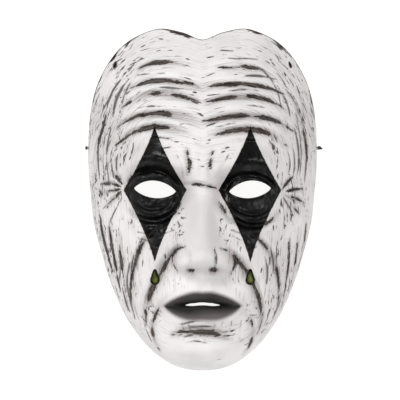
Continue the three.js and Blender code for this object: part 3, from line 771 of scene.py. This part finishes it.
def mouth_field(points):
    half = MOUTH_SLIT["width"] / 2
    share = np.clip(np.abs(points[..., 0]) / half, 0, 1)
    thickness = MOUTH_SLIT["height"] / 2 * (1 - share**4) + MOUTH_CORNER
    return np.maximum(np.abs(points[..., 1] - lip_line(points[..., 0])) - thickness,
                      np.abs(points[..., 0]) - half)


def strap_field(side):
    def field(points):
        distance = np.hypot(points[..., 1] - STRAP_Y, points[..., 2] - STRAP_Z)
        return np.where(side * points[..., 0] > WIDTH / 4, distance - STRAP_RADIUS, HOLE_FAR)

    return field


def on_face(x, y):
    return np.array([x, y, height_at(x, y)])


def vent_place(side):
    """Middle of a vent hole and its three directions: across, along and outward."""
    distance = float(rim_radius(VENT_HOLE["angle"])) - VENT_HOLE["inset"]
    angle = math.radians(VENT_HOLE["angle"])
    x, y = distance * math.cos(angle), distance * math.sin(angle)
    slope_x, slope_y = slopes(smooth_height, x, y, 1)
    outward = Vector((-slope_x * side, -slope_y, 1)).normalized()
    turn = Vector((0, 0, 1)).rotation_difference(outward)
    across, along = (np.array(turn @ Vector(way)) for way in ((1, 0, 0), (0, 1, 0)))
    return on_face(side * x, y), across, along, np.array(outward)


def vent_field(side):
    middle, across, along, outward = vent_place(side)

    def field(points):
        offset = points - middle
        a = offset @ across / VENT_HOLE["half_width"]
        b = offset @ along / VENT_HOLE["half_length"]
        share = np.hypot(a, b)
        slope = np.hypot(a / VENT_HOLE["half_width"], b / VENT_HOLE["half_length"]) / np.maximum(share, 1e-6)
        distance = (share - 1) / np.maximum(slope, 0.1)
        return np.where(np.abs(offset @ outward) < VENT_REACH, distance, HOLE_FAR)

    return field


ACROSS, ALONG, UP = np.eye(3)

# Of each hole: its field, its middle outside, the way to where its edge is followed from, and its rounding
HOLES = []
for side in (-1, 1):
    HOLES.append((eye_field(side), on_face(side * EYE_X, EYE_Y), ACROSS, 0.45))
    HOLES.append((strap_field(side), np.array([side * STRAP_WALL_X, STRAP_Y, STRAP_Z]), UP, 0.3))
    HOLES.append((vent_field(side), vent_place(side)[0], ALONG, 0.3))
HOLES.append((mouth_field, on_face(0, MOUTH_Y), ACROSS, 0.4))


def hole_field(points):
    """Distance outside the rounded edge of the nearest hole."""
    return np.min([field(points) - rounding for field, _, _, rounding in HOLES], axis=0)


def grid_index(cells):
    """The number of each point in a grid."""
    return np.arange((cells[0] + 1) * (cells[1] + 1)).reshape(cells[0] + 1, cells[1] + 1)


def grid_triangles(points, cells):
    """Two triangles in each cell, split along its shorter diagonal, facing outwards."""
    index = grid_index(cells)
    a, b = index[:-1, :-1].ravel(), index[1:, :-1].ravel()
    c, d = index[1:, 1:].ravel(), index[:-1, 1:].ravel()
    short = (lengths(points[a] - points[c]) < lengths(points[b] - points[d]))[:, None]
    first = np.where(short, np.stack([a, b, c], 1), np.stack([a, b, d], 1))
    second = np.where(short, np.stack([a, c, d], 1), np.stack([b, c, d], 1))
    return np.vstack([first, second])


def edges_of(triangles):
    return np.vstack([triangles[:, [0, 1]], triangles[:, [1, 2]], triangles[:, [2, 0]]])


def cut_holes(points, triangles):
    """Moves the points nearest to each hole's edge onto it and leaves out what is inside."""
    field = hole_field(points)
    edges = np.unique(np.sort(edges_of(triangles), axis=1), axis=0)
    a, b = edges[field[edges[:, 0]] * field[edges[:, 1]] < 0].T
    share = field[a] / (field[a] - field[b])
    crossing = points[a] + (points[b] - points[a]) * share[:, None]
    mover = np.where(share < 0.5, a, b)
    order = np.argsort(-lengths(crossing - points[mover]))
    points = points.copy()
    points[mover[order]] = crossing[order]
    kept = hole_field(points[triangles].mean(axis=1)) > 0
    return points, triangles[kept]


def open_loops(triangles):
    """The closed loops of edges that only one triangle has, each followed with the surface on its left."""
    edges = edges_of(triangles)
    size = int(triangles.max()) + 1
    single = edges[~np.isin(edges[:, 0] * size + edges[:, 1], edges[:, 1] * size + edges[:, 0])]
    onward = {}
    for a, b in single.tolist():
        onward.setdefault(a, []).append(b)
    loops = []
    while onward:
        here = next(iter(onward))
        loop = []
        while here in onward:
            loop.append(here)
            after = onward[here].pop()
            if not onward[here]:
                del onward[here]
            here = after
        loops.append(np.array(loop))
    return loops


def shares_round(points):
    """How far round a closed loop each of its points lies, from 0, with the full turn last."""
    steps = lengths(np.roll(points, -1, axis=0) - points)
    return np.append(0, np.cumsum(steps)) / steps.sum()


def join_loops(first, second, first_shares, second_shares):
    """Triangles between two closed loops, by how far round each point lies."""
    made = []
    i = j = 0
    while i < len(first) or j < len(second):
        a, b = first[i % len(first)], second[j % len(second)]
        if j == len(second) or (i < len(first) and first_shares[i + 1] <= second_shares[j + 1]):
            i += 1
            made.append((first[i % len(first)], a, b))
        else:
            j += 1
            made.append((a, b, second[j % len(second)]))
    return made


def place_round(points, shares, wanted):
    closed = np.vstack([points, points[:1]])
    return np.stack([np.interp(wanted, shares, closed[:, k]) for k in range(3)], axis=1)


def rim_ring(cells):
    """The grid's border in order, and for each of its points the next one inwards."""
    index = grid_index(cells)
    column, row = np.indices(index.shape)
    inward = index[np.clip(column, 1, cells[0] - 1), np.clip(row, 1, cells[1] - 1)]
    ring = np.concatenate([index[:-1, 0], index[-1, :-1], index[:0:-1, -1], index[0, :0:-1]])
    return ring, inward.ravel()[ring]


RIM_ROUNDING = 0.45
WALL_SHARES = (0.2, 0.8)  # how deep in the wall the loops of an edge lie


def pull_back(points, ring, inward):
    """Draws the rim's points back from the edge to leave room for its rounding."""
    step = points[inward] - points[ring]
    points[ring] += step * np.minimum(0.5, RIM_ROUNDING / lengths(step))[:, None]


def make_surface(cells, inside):
    """The points of the wall's outer or inner side before any hole, in millimetres."""
    x, y = face_places(cells)
    if inside:
        sunk = np.full(x.shape, WALL)
    else:
        flat = unroll(x, y)
        sunk = (nick_fields(*flat)[0] + line_fields(x, y)[2]) * step_up(rim_distance(*flat), 0.5, 5)
    square_to = grid_normals(np.stack([x, y, smooth_height(x, y)], axis=-1))
    points = np.stack([x, y, face_height(x, y)], axis=-1) - sunk[..., None] * square_to
    points[..., 2] = np.maximum(points[..., 2], 0)
    return points.reshape(-1, 3)


def make_side(cells, inside):
    """One side of the wall with its rim drawn back and its holes cut, and what its edges are joined by."""
    points = make_surface(cells, inside)
    ring, inward = rim_ring(cells)
    rim = points[ring].copy()
    pull_back(points, ring, inward)
    points, triangles = cut_holes(points, grid_triangles(points, cells))
    loops = [loop for loop in open_loops(triangles) if len(loop) < len(ring)]
    return {"points": points, "triangles": triangles, "ring": ring, "rim": rim, "loops": loops}


OUTER, INNER, EDGE = 0, 1, 2


def make_shell():
    """Points, triangles and the material of each: the painted face, the bare inside and the cut edges."""
    outer, inner = make_side(OUTER_CELLS, inside=False), make_side(INNER_CELLS, inside=True)
    before_inner = len(outer["points"])
    points = [outer["points"], inner["points"]]
    count = before_inner + len(inner["points"])
    edge_triangles = []

    def add_edge(outer_loop, inner_loop, outer_shares, inner_shares, starts, ends, push):
        nonlocal count
        before = outer_loop
        for share in WALL_SHARES:
            points.append(starts + (ends - starts) * share + push)
            ring = np.arange(count, count + len(outer_loop))
            count += len(outer_loop)
            edge_triangles.extend(join_loops(before, ring, outer_shares, outer_shares))
            before = ring
        edge_triangles.extend(join_loops(before, inner_loop + before_inner, outer_shares, inner_shares))

    # The rim
    outer_shares, inner_shares = side_shares(OUTER_CELLS), side_shares(INNER_CELLS)
    facing = place_round(inner["rim"], inner_shares, outer_shares[:-1])
    add_edge(outer["ring"], inner["ring"], outer_shares, inner_shares, outer["rim"], facing, 0)

    # The holes
    for field, middle, start, rounding in HOLES:
        loop, other = (nearest_loop(side["loops"], side["points"], middle, start) for side in (outer, inner))
        starts, ends = outer["points"][loop], inner["points"][other]
        outer_shares, inner_shares = shares_round(starts), shares_round(ends)
        facing = place_round(ends, inner_shares, outer_shares[:-1])
        push = -rounding * slope_of(field, (starts + facing) / 2)
        add_edge(loop, other, outer_shares, inner_shares, starts, facing, push)

    parts = (outer["triangles"], inner["triangles"][:, ::-1] + before_inner, np.array(edge_triangles))
    materials = np.repeat([OUTER, INNER, EDGE], [len(part) for part in parts])
    return np.clip(np.vstack(points), SHELL_LOW, SHELL_HIGH), np.vstack(parts), materials


def side_shares(cells):
    """How far round the grid's border each point lies, a quarter to a side, with the full turn last."""
    quarters = [side + np.arange(count) / count for side, count in enumerate(cells * 2)]
    return np.append(np.concatenate(quarters), 4) / 4


def nearest_loop(loops, points, middle, start):
    """The loop round a hole, turned to begin at its furthest point in one direction."""
    loop = min(loops, key=lambda one: lengths(points[one].mean(axis=0) - middle))
    return np.roll(loop, -int(np.argmax(points[loop] @ start)))


FIELD_STEP = 0.05


def slope_of(field, points):
    """Unit direction in which a field rises fastest."""
    steps = FIELD_STEP * np.eye(3)
    slope = np.stack([field(points + step) - field(points - step) for step in steps], axis=1)
    return unit(slope)


def add_object(name, data):
    made = bpy.data.objects.new(name, data)
    bpy.context.scene.collection.objects.link(made)
    return made


def make_mesh(name, points, triangles):
    """A mesh object in metres from points in millimetres, without the points that nothing uses."""
    used, renumbered = np.unique(triangles, return_inverse=True)
    renumbered = renumbered.reshape(triangles.shape)
    mesh = bpy.data.meshes.new(name)
    mesh.vertices.add(len(used))
    mesh.vertices.foreach_set("co", (points[used] * MM).astype(np.float32).ravel())
    mesh.loops.add(triangles.size)
    mesh.loops.foreach_set("vertex_index", renumbered.astype(np.int32).ravel())
    mesh.polygons.add(len(triangles))
    mesh.polygons.foreach_set("loop_start", np.arange(0, triangles.size, 3, dtype=np.int32))
    mesh.polygons.foreach_set("loop_total", np.full(len(triangles), 3, dtype=np.int32))
    mesh.update(calc_edges=True)
    mesh.validate()
    mesh.shade_smooth()
    return add_object(name, mesh), used


def add_attribute(mesh, name, values):
    kind = "FLOAT" if values.ndim == 1 else "FLOAT_VECTOR"
    attribute = mesh.attributes.new(name, kind, "POINT")
    attribute.data.foreach_set("value" if values.ndim == 1 else "vector", values.astype(np.float32).ravel())


def make_camera():
    pixel = HEIGHT / MASK_PIXELS_TALL * MM
    data = bpy.data.cameras.new("camera")
    data.sensor_width = SENSOR_MM
    data.lens = SENSOR_MM * (CAMERA_HEIGHT - OUTLINE_HEIGHT) / (pixel * PICTURE_PIXELS)
    data.clip_end = CAMERA_REACH
    camera = add_object("camera", data)
    camera.location = (-MASK_CENTRE_PIXELS_RIGHT * pixel, 0, CAMERA_HEIGHT)
    bpy.context.scene.camera = camera


make_camera()


class Graph:
    """A material's nodes, written as expressions."""

    def __init__(self, name):
        self.material = bpy.data.materials.new(name)
        self.material.use_nodes = True
        self.tree = self.material.node_tree
        self.shader = self.tree.nodes["Principled BSDF"]

    def feed(self, socket, value):
        if isinstance(value, bpy.types.NodeSocket):
            self.tree.links.new(value, socket)
        else:
            socket.default_value = value

    def put(self, kind, inputs, output=0, **settings):
        """Adds a node and gives back one of its outputs."""
        node = self.tree.nodes.new("ShaderNode" + kind)
        for key, value in settings.items():
            setattr(node, key, value)
        for key, value in inputs.items():
            self.feed(node.inputs[key], value)
        return node.outputs[output]

    def attribute(self, name, output="Fac"):
        return self.put("Attribute", {}, output, attribute_name=name)

    def math(self, operation, *values):
        """All the values taken together in turn, each a socket or a number."""
        total = values[0]
        for value in values[1:]:
            total = self.put("Math", {0: total, 1: value}, operation=operation)
        return total

    add = partialmethod(math, "ADD")
    less = partialmethod(math, "SUBTRACT")
    times = partialmethod(math, "MULTIPLY")
    largest = partialmethod(math, "MAXIMUM")

    def about(self, noise, amount):
        """A noise that swings about zero, by an amount."""
        return self.times(self.less(noise, 0.5), amount)

    def step(self, value, low, high, to_low=0.0, to_high=1.0):
        """Runs smoothly from to_low, at low, to to_high, at high; low may be the larger of the two."""
        inputs = {"Value": value, "From Min": low, "From Max": high, "To Min": to_low, "To Max": to_high}
        return self.put("MapRange", inputs, "Result", interpolation_type="SMOOTHSTEP")

    def noise(self, place, stretch, detail=2.0, roughness=0.5, distortion=0.0):
        scaled = self.put("VectorMath", {0: place, 1: stretch}, operation="MULTIPLY")
        inputs = {"Vector": scaled, "Scale": 1.0, "Detail": detail, "Roughness": roughness,
                  "Distortion": distortion}
        return self.put("TexNoise", inputs, "Fac")

    def mix(self, share, first, second):
        return self.put("Mix", {0: share, 6: first, 7: second}, 2, data_type="RGBA")

    def finish(self, colour, roughness, relief, strength):
        """Gives the shader its colour, its roughness and a relief in millimetres."""
        normal = self.put("Bump", {"Strength": strength, "Distance": MM, "Height": relief}, "Normal")
        for name, value in {"Base Color": colour, "Roughness": roughness, "Normal": normal}.items():
            self.feed(self.shader.inputs[name], value)
        return self.material


WHITE_PAINT = (0.79, 0.77, 0.76, 1)
COOL_WHITE_PAINT = (0.71, 0.692, 0.690, 1)
# Air-brushed grey, also laid on as painted shade in the wrinkles' hollows and the shaded spots
AIRBRUSH_AND_SHADE = (0.40, 0.35, 0.345, 1)
FAINT_WASH = (0.27, 0.23, 0.215, 1)
WASH = (0.022, 0.016, 0.013, 1)
THIN_WASH = (0.105, 0.086, 0.077, 1)
BLACK_PAINT = (0.002, 0.002, 0.0022, 1)
WORN_BLACK_PAINT = (0.009, 0.0085, 0.009, 1)
LIP_DARK = (0.005, 0.0045, 0.0045, 1)
LIP_LIGHT = (0.155, 0.132, 0.130, 1)
GREEN_PAINT = (0.160, 0.195, 0.042, 1)
DARK_GREEN_PAINT = (0.070, 0.086, 0.020, 1)
BARE_RUBBER = (0.60, 0.55, 0.47, 1)
DARK_BARE_RUBBER = (0.47, 0.42, 0.35, 1)
BLACK_YARN = (0.005, 0.005, 0.005, 1)
WORN_YARN = (0.022, 0.022, 0.023, 1)


def face_material():
    g = Graph("mask_paint")
    flow = g.attribute("flow", "Vector")
    wash, line, nick, hollow = map(g.attribute, ("wash", "line", "nick", "hollow"))
    patch, tear, lip, below = map(g.attribute, ("patch", "tear", "lip", "below"))
    worn, shade, stippled, rim = map(g.attribute, ("worn", "shade", "stippled", "rim"))

    ragged = g.noise(flow, (0.30, 0.30, 1.1), detail=3, roughness=0.6)
    broken = g.noise(flow, (0.05, 0.05, 0.07), detail=1)
    coarse = g.noise(flow, (0.085, 0.085, 0.85), detail=2.5, roughness=0.55)
    fine = g.noise(flow, (0.045, 0.045, 1.5))
    hair = g.noise(flow, (0.014, 0.014, 0.36), detail=1.5, roughness=0.45)
    clouds = g.noise(flow, (0.022, 0.022, 0.0), detail=3, roughness=0.6)
    speckle = g.noise(flow, (0.9, 0.9, 0.5), detail=3, roughness=0.65)
    dabs = g.noise(flow, (0.26, 0.26, 0.30), detail=1.5, distortion=0.6)
    soft = g.noise(flow, (0.12, 0.12, 0.10), detail=1.5)

    # Washes: strokes in the wrinkles that swell and die away, fine lines, nicks, and loose dashes and dabs
    stroke_edge = g.add(wash, g.about(ragged, 2.4), g.about(fine, 1.6), g.about(speckle, 2.3),
                        g.step(broken, 0.36, 0.56, 1.5, -0.25))
    stroke = g.step(stroke_edge, 0.32, -0.18)
    core = g.times(g.step(stroke_edge, 0.05, -0.75), g.step(coarse, 0.42, 0.58))
    line_edge = g.add(line, g.about(ragged, 1.1), g.about(speckle, 0.598),
                      g.step(broken, 0.40, 0.60, -0.1, 0.6))
    line_mark = g.step(line_edge, 0.75, -0.25, 0, 0.85)
    nick_edge = g.add(nick, g.about(ragged, 1.3), g.step(clouds, 0.34, 0.54, 0.5, -0.2))
    nick_mark = g.step(nick_edge, 0.22, -0.12, 0, 0.9)
    loose = g.step(worn, 0.03, 0.14)
    dash_level = g.add(coarse, g.about(clouds, 0.30), g.times(worn, 0.05))
    dash = g.times(g.step(dash_level, 0.715, 0.745), loose)
    dab = g.times(g.step(g.add(dabs, g.about(speckle, 0.5)), 0.60, 0.65), g.step(stippled, 0.25, 0.5),
                  g.step(patch, 0.5, 3), 0.85)
    dark = g.largest(stroke, line_mark, nick_mark, dash, dab)

    # Faint greys: streaks, hair lines that follow the grain, and the thin wash that the washes left beside
    # them
    streak = g.times(g.step(g.add(fine, g.times(clouds, 0.12)), 0.66, 0.76, 0, 0.42), loose)
    contour = g.largest(g.less(hair, 0.5), g.less(0.5, hair))
    hair_line = g.times(g.step(contour, 0.018, 0.003), g.step(broken, 0.59, 0.46), loose, 0.6)
    beside = g.times(g.step(wash, 4.5, 0.2), g.step(fine, 0.50, 0.62), g.step(worn, 0.0, 0.15, 0.2, 0.6))
    trail = g.times(g.step(stroke_edge, 2.6, 0.1), g.step(fine, 0.42, 0.60), 0.75)
    faint = g.largest(streak, hair_line, beside, trail)

    tone = g.mix(g.step(clouds, 0.35, 0.65), WHITE_PAINT, COOL_WHITE_PAINT)
    # Painted shade in the wrinkles' hollows, darker the deeper they are, mixed with the air-brushed grey and
    # the painted shade of the shaded spots
    hollow_shade = g.times(g.step(hollow, 0.0, 2.2), 0.7)
    air_and_shade = g.times(g.largest(shade, hollow_shade), g.step(clouds, 0.25, 0.75, 0.7, 1.0), 0.75)
    skin = g.mix(air_and_shade, tone, AIRBRUSH_AND_SHADE)
    skin = g.mix(faint, skin, FAINT_WASH)
    thin = g.step(g.add(fine, g.times(speckle, 0.5)), 0.74, 0.94)
    wash_tone = g.mix(g.largest(core, thin), WASH, THIN_WASH)
    skin = g.mix(dark, skin, wash_tone)

    # The cut edge: a thin line, with a few dark smears
    edge_line = g.step(g.add(rim, g.times(ragged, 2.0), g.step(broken, 0.42, 0.56, 0.7, 0)), 3.2, 2.5)
    smear = g.step(g.add(g.times(rim, 0.05), g.times(ragged, -0.5), g.times(broken, -1.0)), -0.62, -0.66)
    skin = g.mix(g.largest(edge_line, smear), skin, wash_tone)

    # Make-up: the lips are dark at their parting and fade to soft edges, most of all downwards
    lower_fade = g.step(g.add(below, g.about(clouds, 0.8)), 0.18, 1.1)
    upper_fade = g.times(g.step(lip, -6.5, 0.8), g.step(below, 0.12, 0.0), 0.38)
    lip_tone = g.mix(g.largest(lower_fade, upper_fade), LIP_DARK, LIP_LIGHT)
    skin = g.mix(g.step(g.add(lip, g.about(speckle, 1.2)), 2.1, -1.6), skin, lip_tone)
    black = g.step(g.add(patch, g.about(ragged, 1.1)), 0.18, -0.18)
    black_tone = g.mix(g.step(fine, 0.55, 0.75, 0, 0.6), BLACK_PAINT, WORN_BLACK_PAINT)
    skin = g.mix(black, skin, black_tone)
    tear_line = g.step(tear, 1.2, 0.95)
    skin = g.mix(tear_line, skin, BLACK_PAINT)
    green = g.mix(g.step(tear, -0.4, -1.8), DARK_GREEN_PAINT, GREEN_PAINT)
    skin = g.mix(g.step(tear, -0.05, -0.3), skin, green)

    matt = g.add(0.60, g.times(dark, 0.14), g.times(clouds, 0.08))
    satin = g.step(g.add(clouds, soft), 0.8, 1.2, 0.42, 0.26)
    roughness = g.less(matt, g.step(lip, 1.5, -1.5, 0, 0.12), g.times(g.largest(black, tear_line), satin))
    brushed = g.times(g.add(g.times(fine, 0.35), g.times(coarse, 0.30)), g.step(worn, 0.0, 0.35, 0.12, 1.0))
    mottle = g.times(black, g.add(g.times(soft, 1.5), g.times(dabs, 0.10)))
    grain_relief = g.times(g.add(brushed, g.times(speckle, 0.10)), g.step(patch, -0.3, 0.3, 0.22, 1.0))
    relief = g.add(g.times(dark, -0.30), g.times(hollow, -0.7), grain_relief, mottle)
    g.shader.inputs["Specular IOR Level"].default_value = 0.21
    return g.finish(skin, roughness, relief, 0.8)


def inside_material():
    g = Graph("mask_inside")
    flow = g.attribute("flow", "Vector")
    hole = g.attribute("hole")
    clouds = g.noise(flow, (0.03, 0.03, 0.0), detail=4, roughness=0.6)
    pits = g.noise(flow, (0.7, 0.7, 0.7), detail=3, roughness=0.6)
    bare = g.mix(g.step(clouds, 0.35, 0.68), BARE_RUBBER, DARK_BARE_RUBBER)
    seep = g.step(g.add(hole, g.times(pits, 5.0)), 4.2, 2.2)
    colour = g.mix(g.times(seep, 0.85), bare, WORN_BLACK_PAINT)
    relief = g.add(g.times(pits, 0.4), g.times(clouds, 0.6))
    return g.finish(colour, g.step(clouds, 0.3, 0.7, 0.55, 0.72), relief, 0.6)


def edge_material():
    g = Graph("mask_edge")
    flow = g.attribute("flow", "Vector")
    hole = g.attribute("hole")
    coarse = g.noise(flow, (0.12, 0.12, 0.2), detail=3, roughness=0.6)
    pits = g.noise(flow, (0.9, 0.9, 0.9), detail=2)
    bare = g.mix(g.step(pits, 0.4, 0.6), BARE_RUBBER, DARK_BARE_RUBBER)
    rim = g.mix(g.step(coarse, 0.42, 0.54), bare, WASH)
    colour = g.mix(g.step(hole, 4.0, 3.0), rim, BLACK_PAINT)
    return g.finish(colour, g.step(coarse, 0.3, 0.7, 0.6, 0.8), pits, 0.5)


def elastic_material():
    g = Graph("elastic_braid")
    braid = g.attribute("braid")
    turn = g.attribute("turn", "Vector")
    fibre = g.noise(turn, (9.0, 9.0, 1.4))
    colour = g.mix(g.step(g.add(braid, g.times(fibre, 0.5)), 0.5, 1.3), BLACK_YARN, WORN_YARN)
    g.shader.inputs["Sheen Weight"].default_value = 0.25
    g.shader.inputs["Sheen Roughness"].default_value = 0.5
    return g.finish(colour, g.step(fibre, 0.3, 0.7, 0.72, 0.9), g.add(braid, fibre), 0.5)


ELASTIC = elastic_material()


# Elastic cord
CORD_STEPS, KNOT_STEPS, TAIL_STEPS = 800, 180, 30
CORD_SIDES, KNOT_SIDES, TAIL_SIDES = 20, 14, 16
STRAND_SHARE, BULGE_SHARE = 0.36, 0.3  # of a knot's radius
TAIL_DROOP = 0.12
TAIL_RADIUS = 0.44 * CORD_DIAMETER
CORD_LOW = CORD_DIAMETER / 2 + 0.25
CORD_END_X = STRAP_WALL_X + GAP
CORD_ROUTE = [
    (CORD_END_X, STRAP_Y, STRAP_Z),
    (CORD_END_X - 5, STRAP_Y, STRAP_Z),
    (CORD_END_X - 10, STRAP_Y + 0.3, STRAP_Z - 0.9),
    (CORD_END_X - 16, STRAP_Y + 1.5, STRAP_Z - 4),
    (CORD_END_X - 22, 42, 2.6),
    (54, 47, CORD_LOW),
    (46, 56, CORD_LOW),
    (39, 68, CORD_LOW),
    (31, 80, CORD_LOW),
    (20, 88, CORD_LOW),
    (7, 90, CORD_LOW),
    (-4, 84, CORD_LOW),
    (-10, 73, CORD_LOW),
    (-12, 60, CORD_LOW),
    (-13, 47, CORD_LOW),
    (-17, 35, CORD_LOW),
    (-26, 27, CORD_LOW),
    (-38, 25, CORD_LOW),
    (-50, 29, CORD_LOW),
    (22 - CORD_END_X, 35, 2.6),
    (16 - CORD_END_X, STRAP_Y - 0.4, STRAP_Z - 4),
    (10 - CORD_END_X, STRAP_Y, STRAP_Z - 0.9),
    (5 - CORD_END_X, STRAP_Y, STRAP_Z),
    (-CORD_END_X, STRAP_Y, STRAP_Z),
]
BRAID_STRANDS = 8
BRAID_PITCH = 5.0  # millimetres of cord for one full turn of a strand
BRAID_RELIEF = 0.08
END_TAPER = 0.7


def make_tube(name, path, radius, sides, closed=False):
    """A braided tube along a path in millimetres; its ends are drawn in and closed."""
    count = len(path)
    ahead = np.roll(path, -1, axis=0) - np.roll(path, 1, axis=0) if closed else np.gradient(path, axis=0)
    ahead = unit(ahead)
    sideways = [np.cross(ahead[0], UP)]
    for way in ahead:
        sideways.append(unit(sideways[-1] - way * (sideways[-1] @ way)))
    sideways = np.array(sideways[1:])
    upward = np.cross(ahead, sideways)
    angle = 2 * math.pi * np.arange(sides) / sides
    along = np.append(0, np.cumsum(lengths(np.diff(path, axis=0))))[:, None]
    twist = 2 * math.pi * along / BRAID_PITCH
    strands = BRAID_STRANDS / 2
    braid = 0.5 + 0.5 * np.maximum(np.sin(strands * (angle + twist)), np.sin(strands * (angle - twist)))
    reach = radius - BRAID_RELIEF * (1 - braid)
    if not closed:
        reach[[0, -1]] *= END_TAPER
    rings = path[:, None] + reach[..., None] * (np.cos(angle)[:, None] * sideways[:, None]
                                                + np.sin(angle)[:, None] * upward[:, None])
    points = rings.reshape(-1, 3)
    turn = np.stack(np.broadcast_arrays(np.cos(angle), np.sin(angle), along), axis=-1).reshape(-1, 3)
    braid = braid.ravel()
    index = np.arange(count * sides).reshape(count, sides)
    here, after = (index, np.roll(index, -1, axis=0)) if closed else (index[:-1], index[1:])
    a, b = here.ravel(), np.roll(here, -1, axis=1).ravel()
    d, c = after.ravel(), np.roll(after, -1, axis=1).ravel()
    triangles = [np.stack([a, b, c], 1), np.stack([a, c, d], 1)]
    if not closed:
        first, last = index[0], index[-1]
        triangles.append(np.stack([np.roll(first, -1), first, np.full(sides, len(points))], 1))
        triangles.append(np.stack([last, np.roll(last, -1), np.full(sides, len(points) + 1)], 1))
        points = np.vstack([points, path[0], path[-1]])
        turn = np.vstack([turn, [0, 0, 0], [0, 0, along[-1, 0]]])
        braid = np.append(braid, [0.5, 0.5])
    piece, used = make_mesh(name, points, np.vstack(triangles))
    add_attribute(piece.data, "braid", braid[used])
    add_attribute(piece.data, "turn", turn[used])
    piece.data.materials.append(ELASTIC)
    return piece


def make_knot(name, side, thickness, tail_length):
    """A small tight overhand knot outside the wall, with or without a short tail."""
    centre = np.array([side * (CORD_END_X + GAP + thickness / 2), STRAP_Y, STRAP_Z])
    turn = np.linspace(0, 2 * math.pi, KNOT_STEPS, endpoint=False)
    strand = KNOT_RADIUS * STRAND_SHARE
    bulge = (KNOT_RADIUS - strand) * BULGE_SHARE
    ring = KNOT_RADIUS - strand - bulge + bulge * np.cos(3 * turn)
    depth = (thickness / 2 - strand) * np.sin(3 * turn)
    wraps = centre + np.stack([depth, ring * np.cos(2 * turn), ring * np.sin(2 * turn)], axis=1)
    parts = [make_tube(name + "_wraps", wraps, strand, KNOT_SIDES, closed=True)]
    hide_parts(name)
    if tail_length:
        way = np.array([math.cos(TAIL_DROOP), -math.sin(TAIL_DROOP), 0])
        path = centre - TAIL_DROOP * ALONG + np.linspace(0, tail_length, TAIL_STEPS)[:, None] * way
        parts.append(make_tube("cord_tail", path, TAIL_RADIUS, TAIL_SIDES))
    for part in parts:
        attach(part, "root")
    return parts


cord_path = curve_points(CORD_ROUTE, CORD_STEPS)
cord = make_tube("elastic_cord", cord_path, CORD_DIAMETER / 2, CORD_SIDES)
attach(cord, "root")
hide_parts("head_cord")

knots = (make_knot("knot_right", 1, 2 * KNOT_RADIUS, TAIL_LENGTH)
         + make_knot("knot_left", -1, 1.3 * KNOT_RADIUS, 0))


# Mask
SHARP_ANGLE = 55

points, triangles, materials = make_shell()
mask, used = make_mesh("clown_mask", points, triangles)
for material in (face_material(), inside_material(), edge_material()):
    mask.data.materials.append(material)
mask.data.polygons.foreach_set("material_index", materials.astype(np.int32))
shown = points[used]
x, y = shown[:, 0], shown[:, 1]
flat_x, flat_y = unroll(x, y)
wash, fine, _ = line_fields(x, y)
vents = np.minimum(vent_field(-1)(shown), vent_field(1)(shown))
away, thickness, _ = lip_shape(x, y)
fields = {
    "flow": np.stack([flat_x, flat_y, grain(flat_x, flat_y)], axis=1),
    "wash": wash,
    "line": fine,
    "nick": np.minimum(nick_fields(flat_x, flat_y)[1], vents - VENT_STAIN),
    "hollow": -wrinkle_heights(x, y),
    "worn": np.clip(nick_weight(x, y), 0, 1),
    "patch": patch_field(x, y),
    "tear": tear_field(x, y),
    "lip": lip_field(x, y),
    "below": np.where(y < lip_line(x), away / thickness, 0),
    "shade": shade_field(x, y),
    "stippled": stipple_field(x, y),
    "rim": rim_distance(flat_x, flat_y),
    "hole": np.clip(hole_field(shown), *HOLE_SPAN),
}
for name, values in fields.items():
    add_attribute(mask.data, name, values)
mask.data.set_sharp_from_angle(angle=math.radians(SHARP_ANGLE))
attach(mask, "root")
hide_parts("mask_shell")


# Floor, lights and background
FLOOR_HALF = 4.0
FLOOR_PAINT = {"Base Color": (0.25, 0.25, 0.25, 1), "Roughness": 0.9, "Emission Color": (1, 1, 1, 1),
               "Emission Strength": 0.85}
WORLD_STRENGTH = 0.24
LIGHT_AIM = Vector((0, 0, 0.04))
# Place in metres, width and power of each light
LIGHTS = {
    "key": ((-0.45, 0.85, 1.10), 0.5, 10),
    "low": ((0.10, -1.05, 1.00), 0.7, 7),
    "right": ((1.15, 0.05, 0.85), 0.6, 6),
    "left": ((-1.15, -0.05, 0.85), 0.6, 5.2),
    "front": ((-0.10, 0.0, 1.90), 0.9, 2),
}


def make_floor():
    mesh = bpy.data.meshes.new("floor")
    corners = [(x * FLOOR_HALF, y * FLOOR_HALF, 0) for x, y in ((-1, -1), (1, -1), (1, 1), (-1, 1))]
    mesh.from_pydata(corners, [], [(0, 1, 2, 3)])
    g = Graph("floor")
    for socket, value in FLOOR_PAINT.items():
        g.shader.inputs[socket].default_value = value
    mesh.materials.append(g.material)
    add_object("floor", mesh)


def make_light(name, place, size, power):
    data = bpy.data.lights.new(name, "AREA")
    data.shape = "DISK"
    data.size = size
    data.energy = power
    light = add_object(name, data)
    light.location = place
    light.rotation_mode = "QUATERNION"
    light.rotation_quaternion = (LIGHT_AIM - light.location).to_track_quat("-Z", "Y")


make_floor()
for name, (place, size, power) in LIGHTS.items():
    make_light(name, place, size, power)
world = bpy.data.worlds.new("studio")
world.use_nodes = True
background = world.node_tree.nodes["Background"]
background.inputs["Color"].default_value = (1, 1, 1, 1)
background.inputs["Strength"].default_value = WORLD_STRENGTH
bpy.context.scene.world = world
bpy.context.scene.view_settings.view_transform = "Standard"
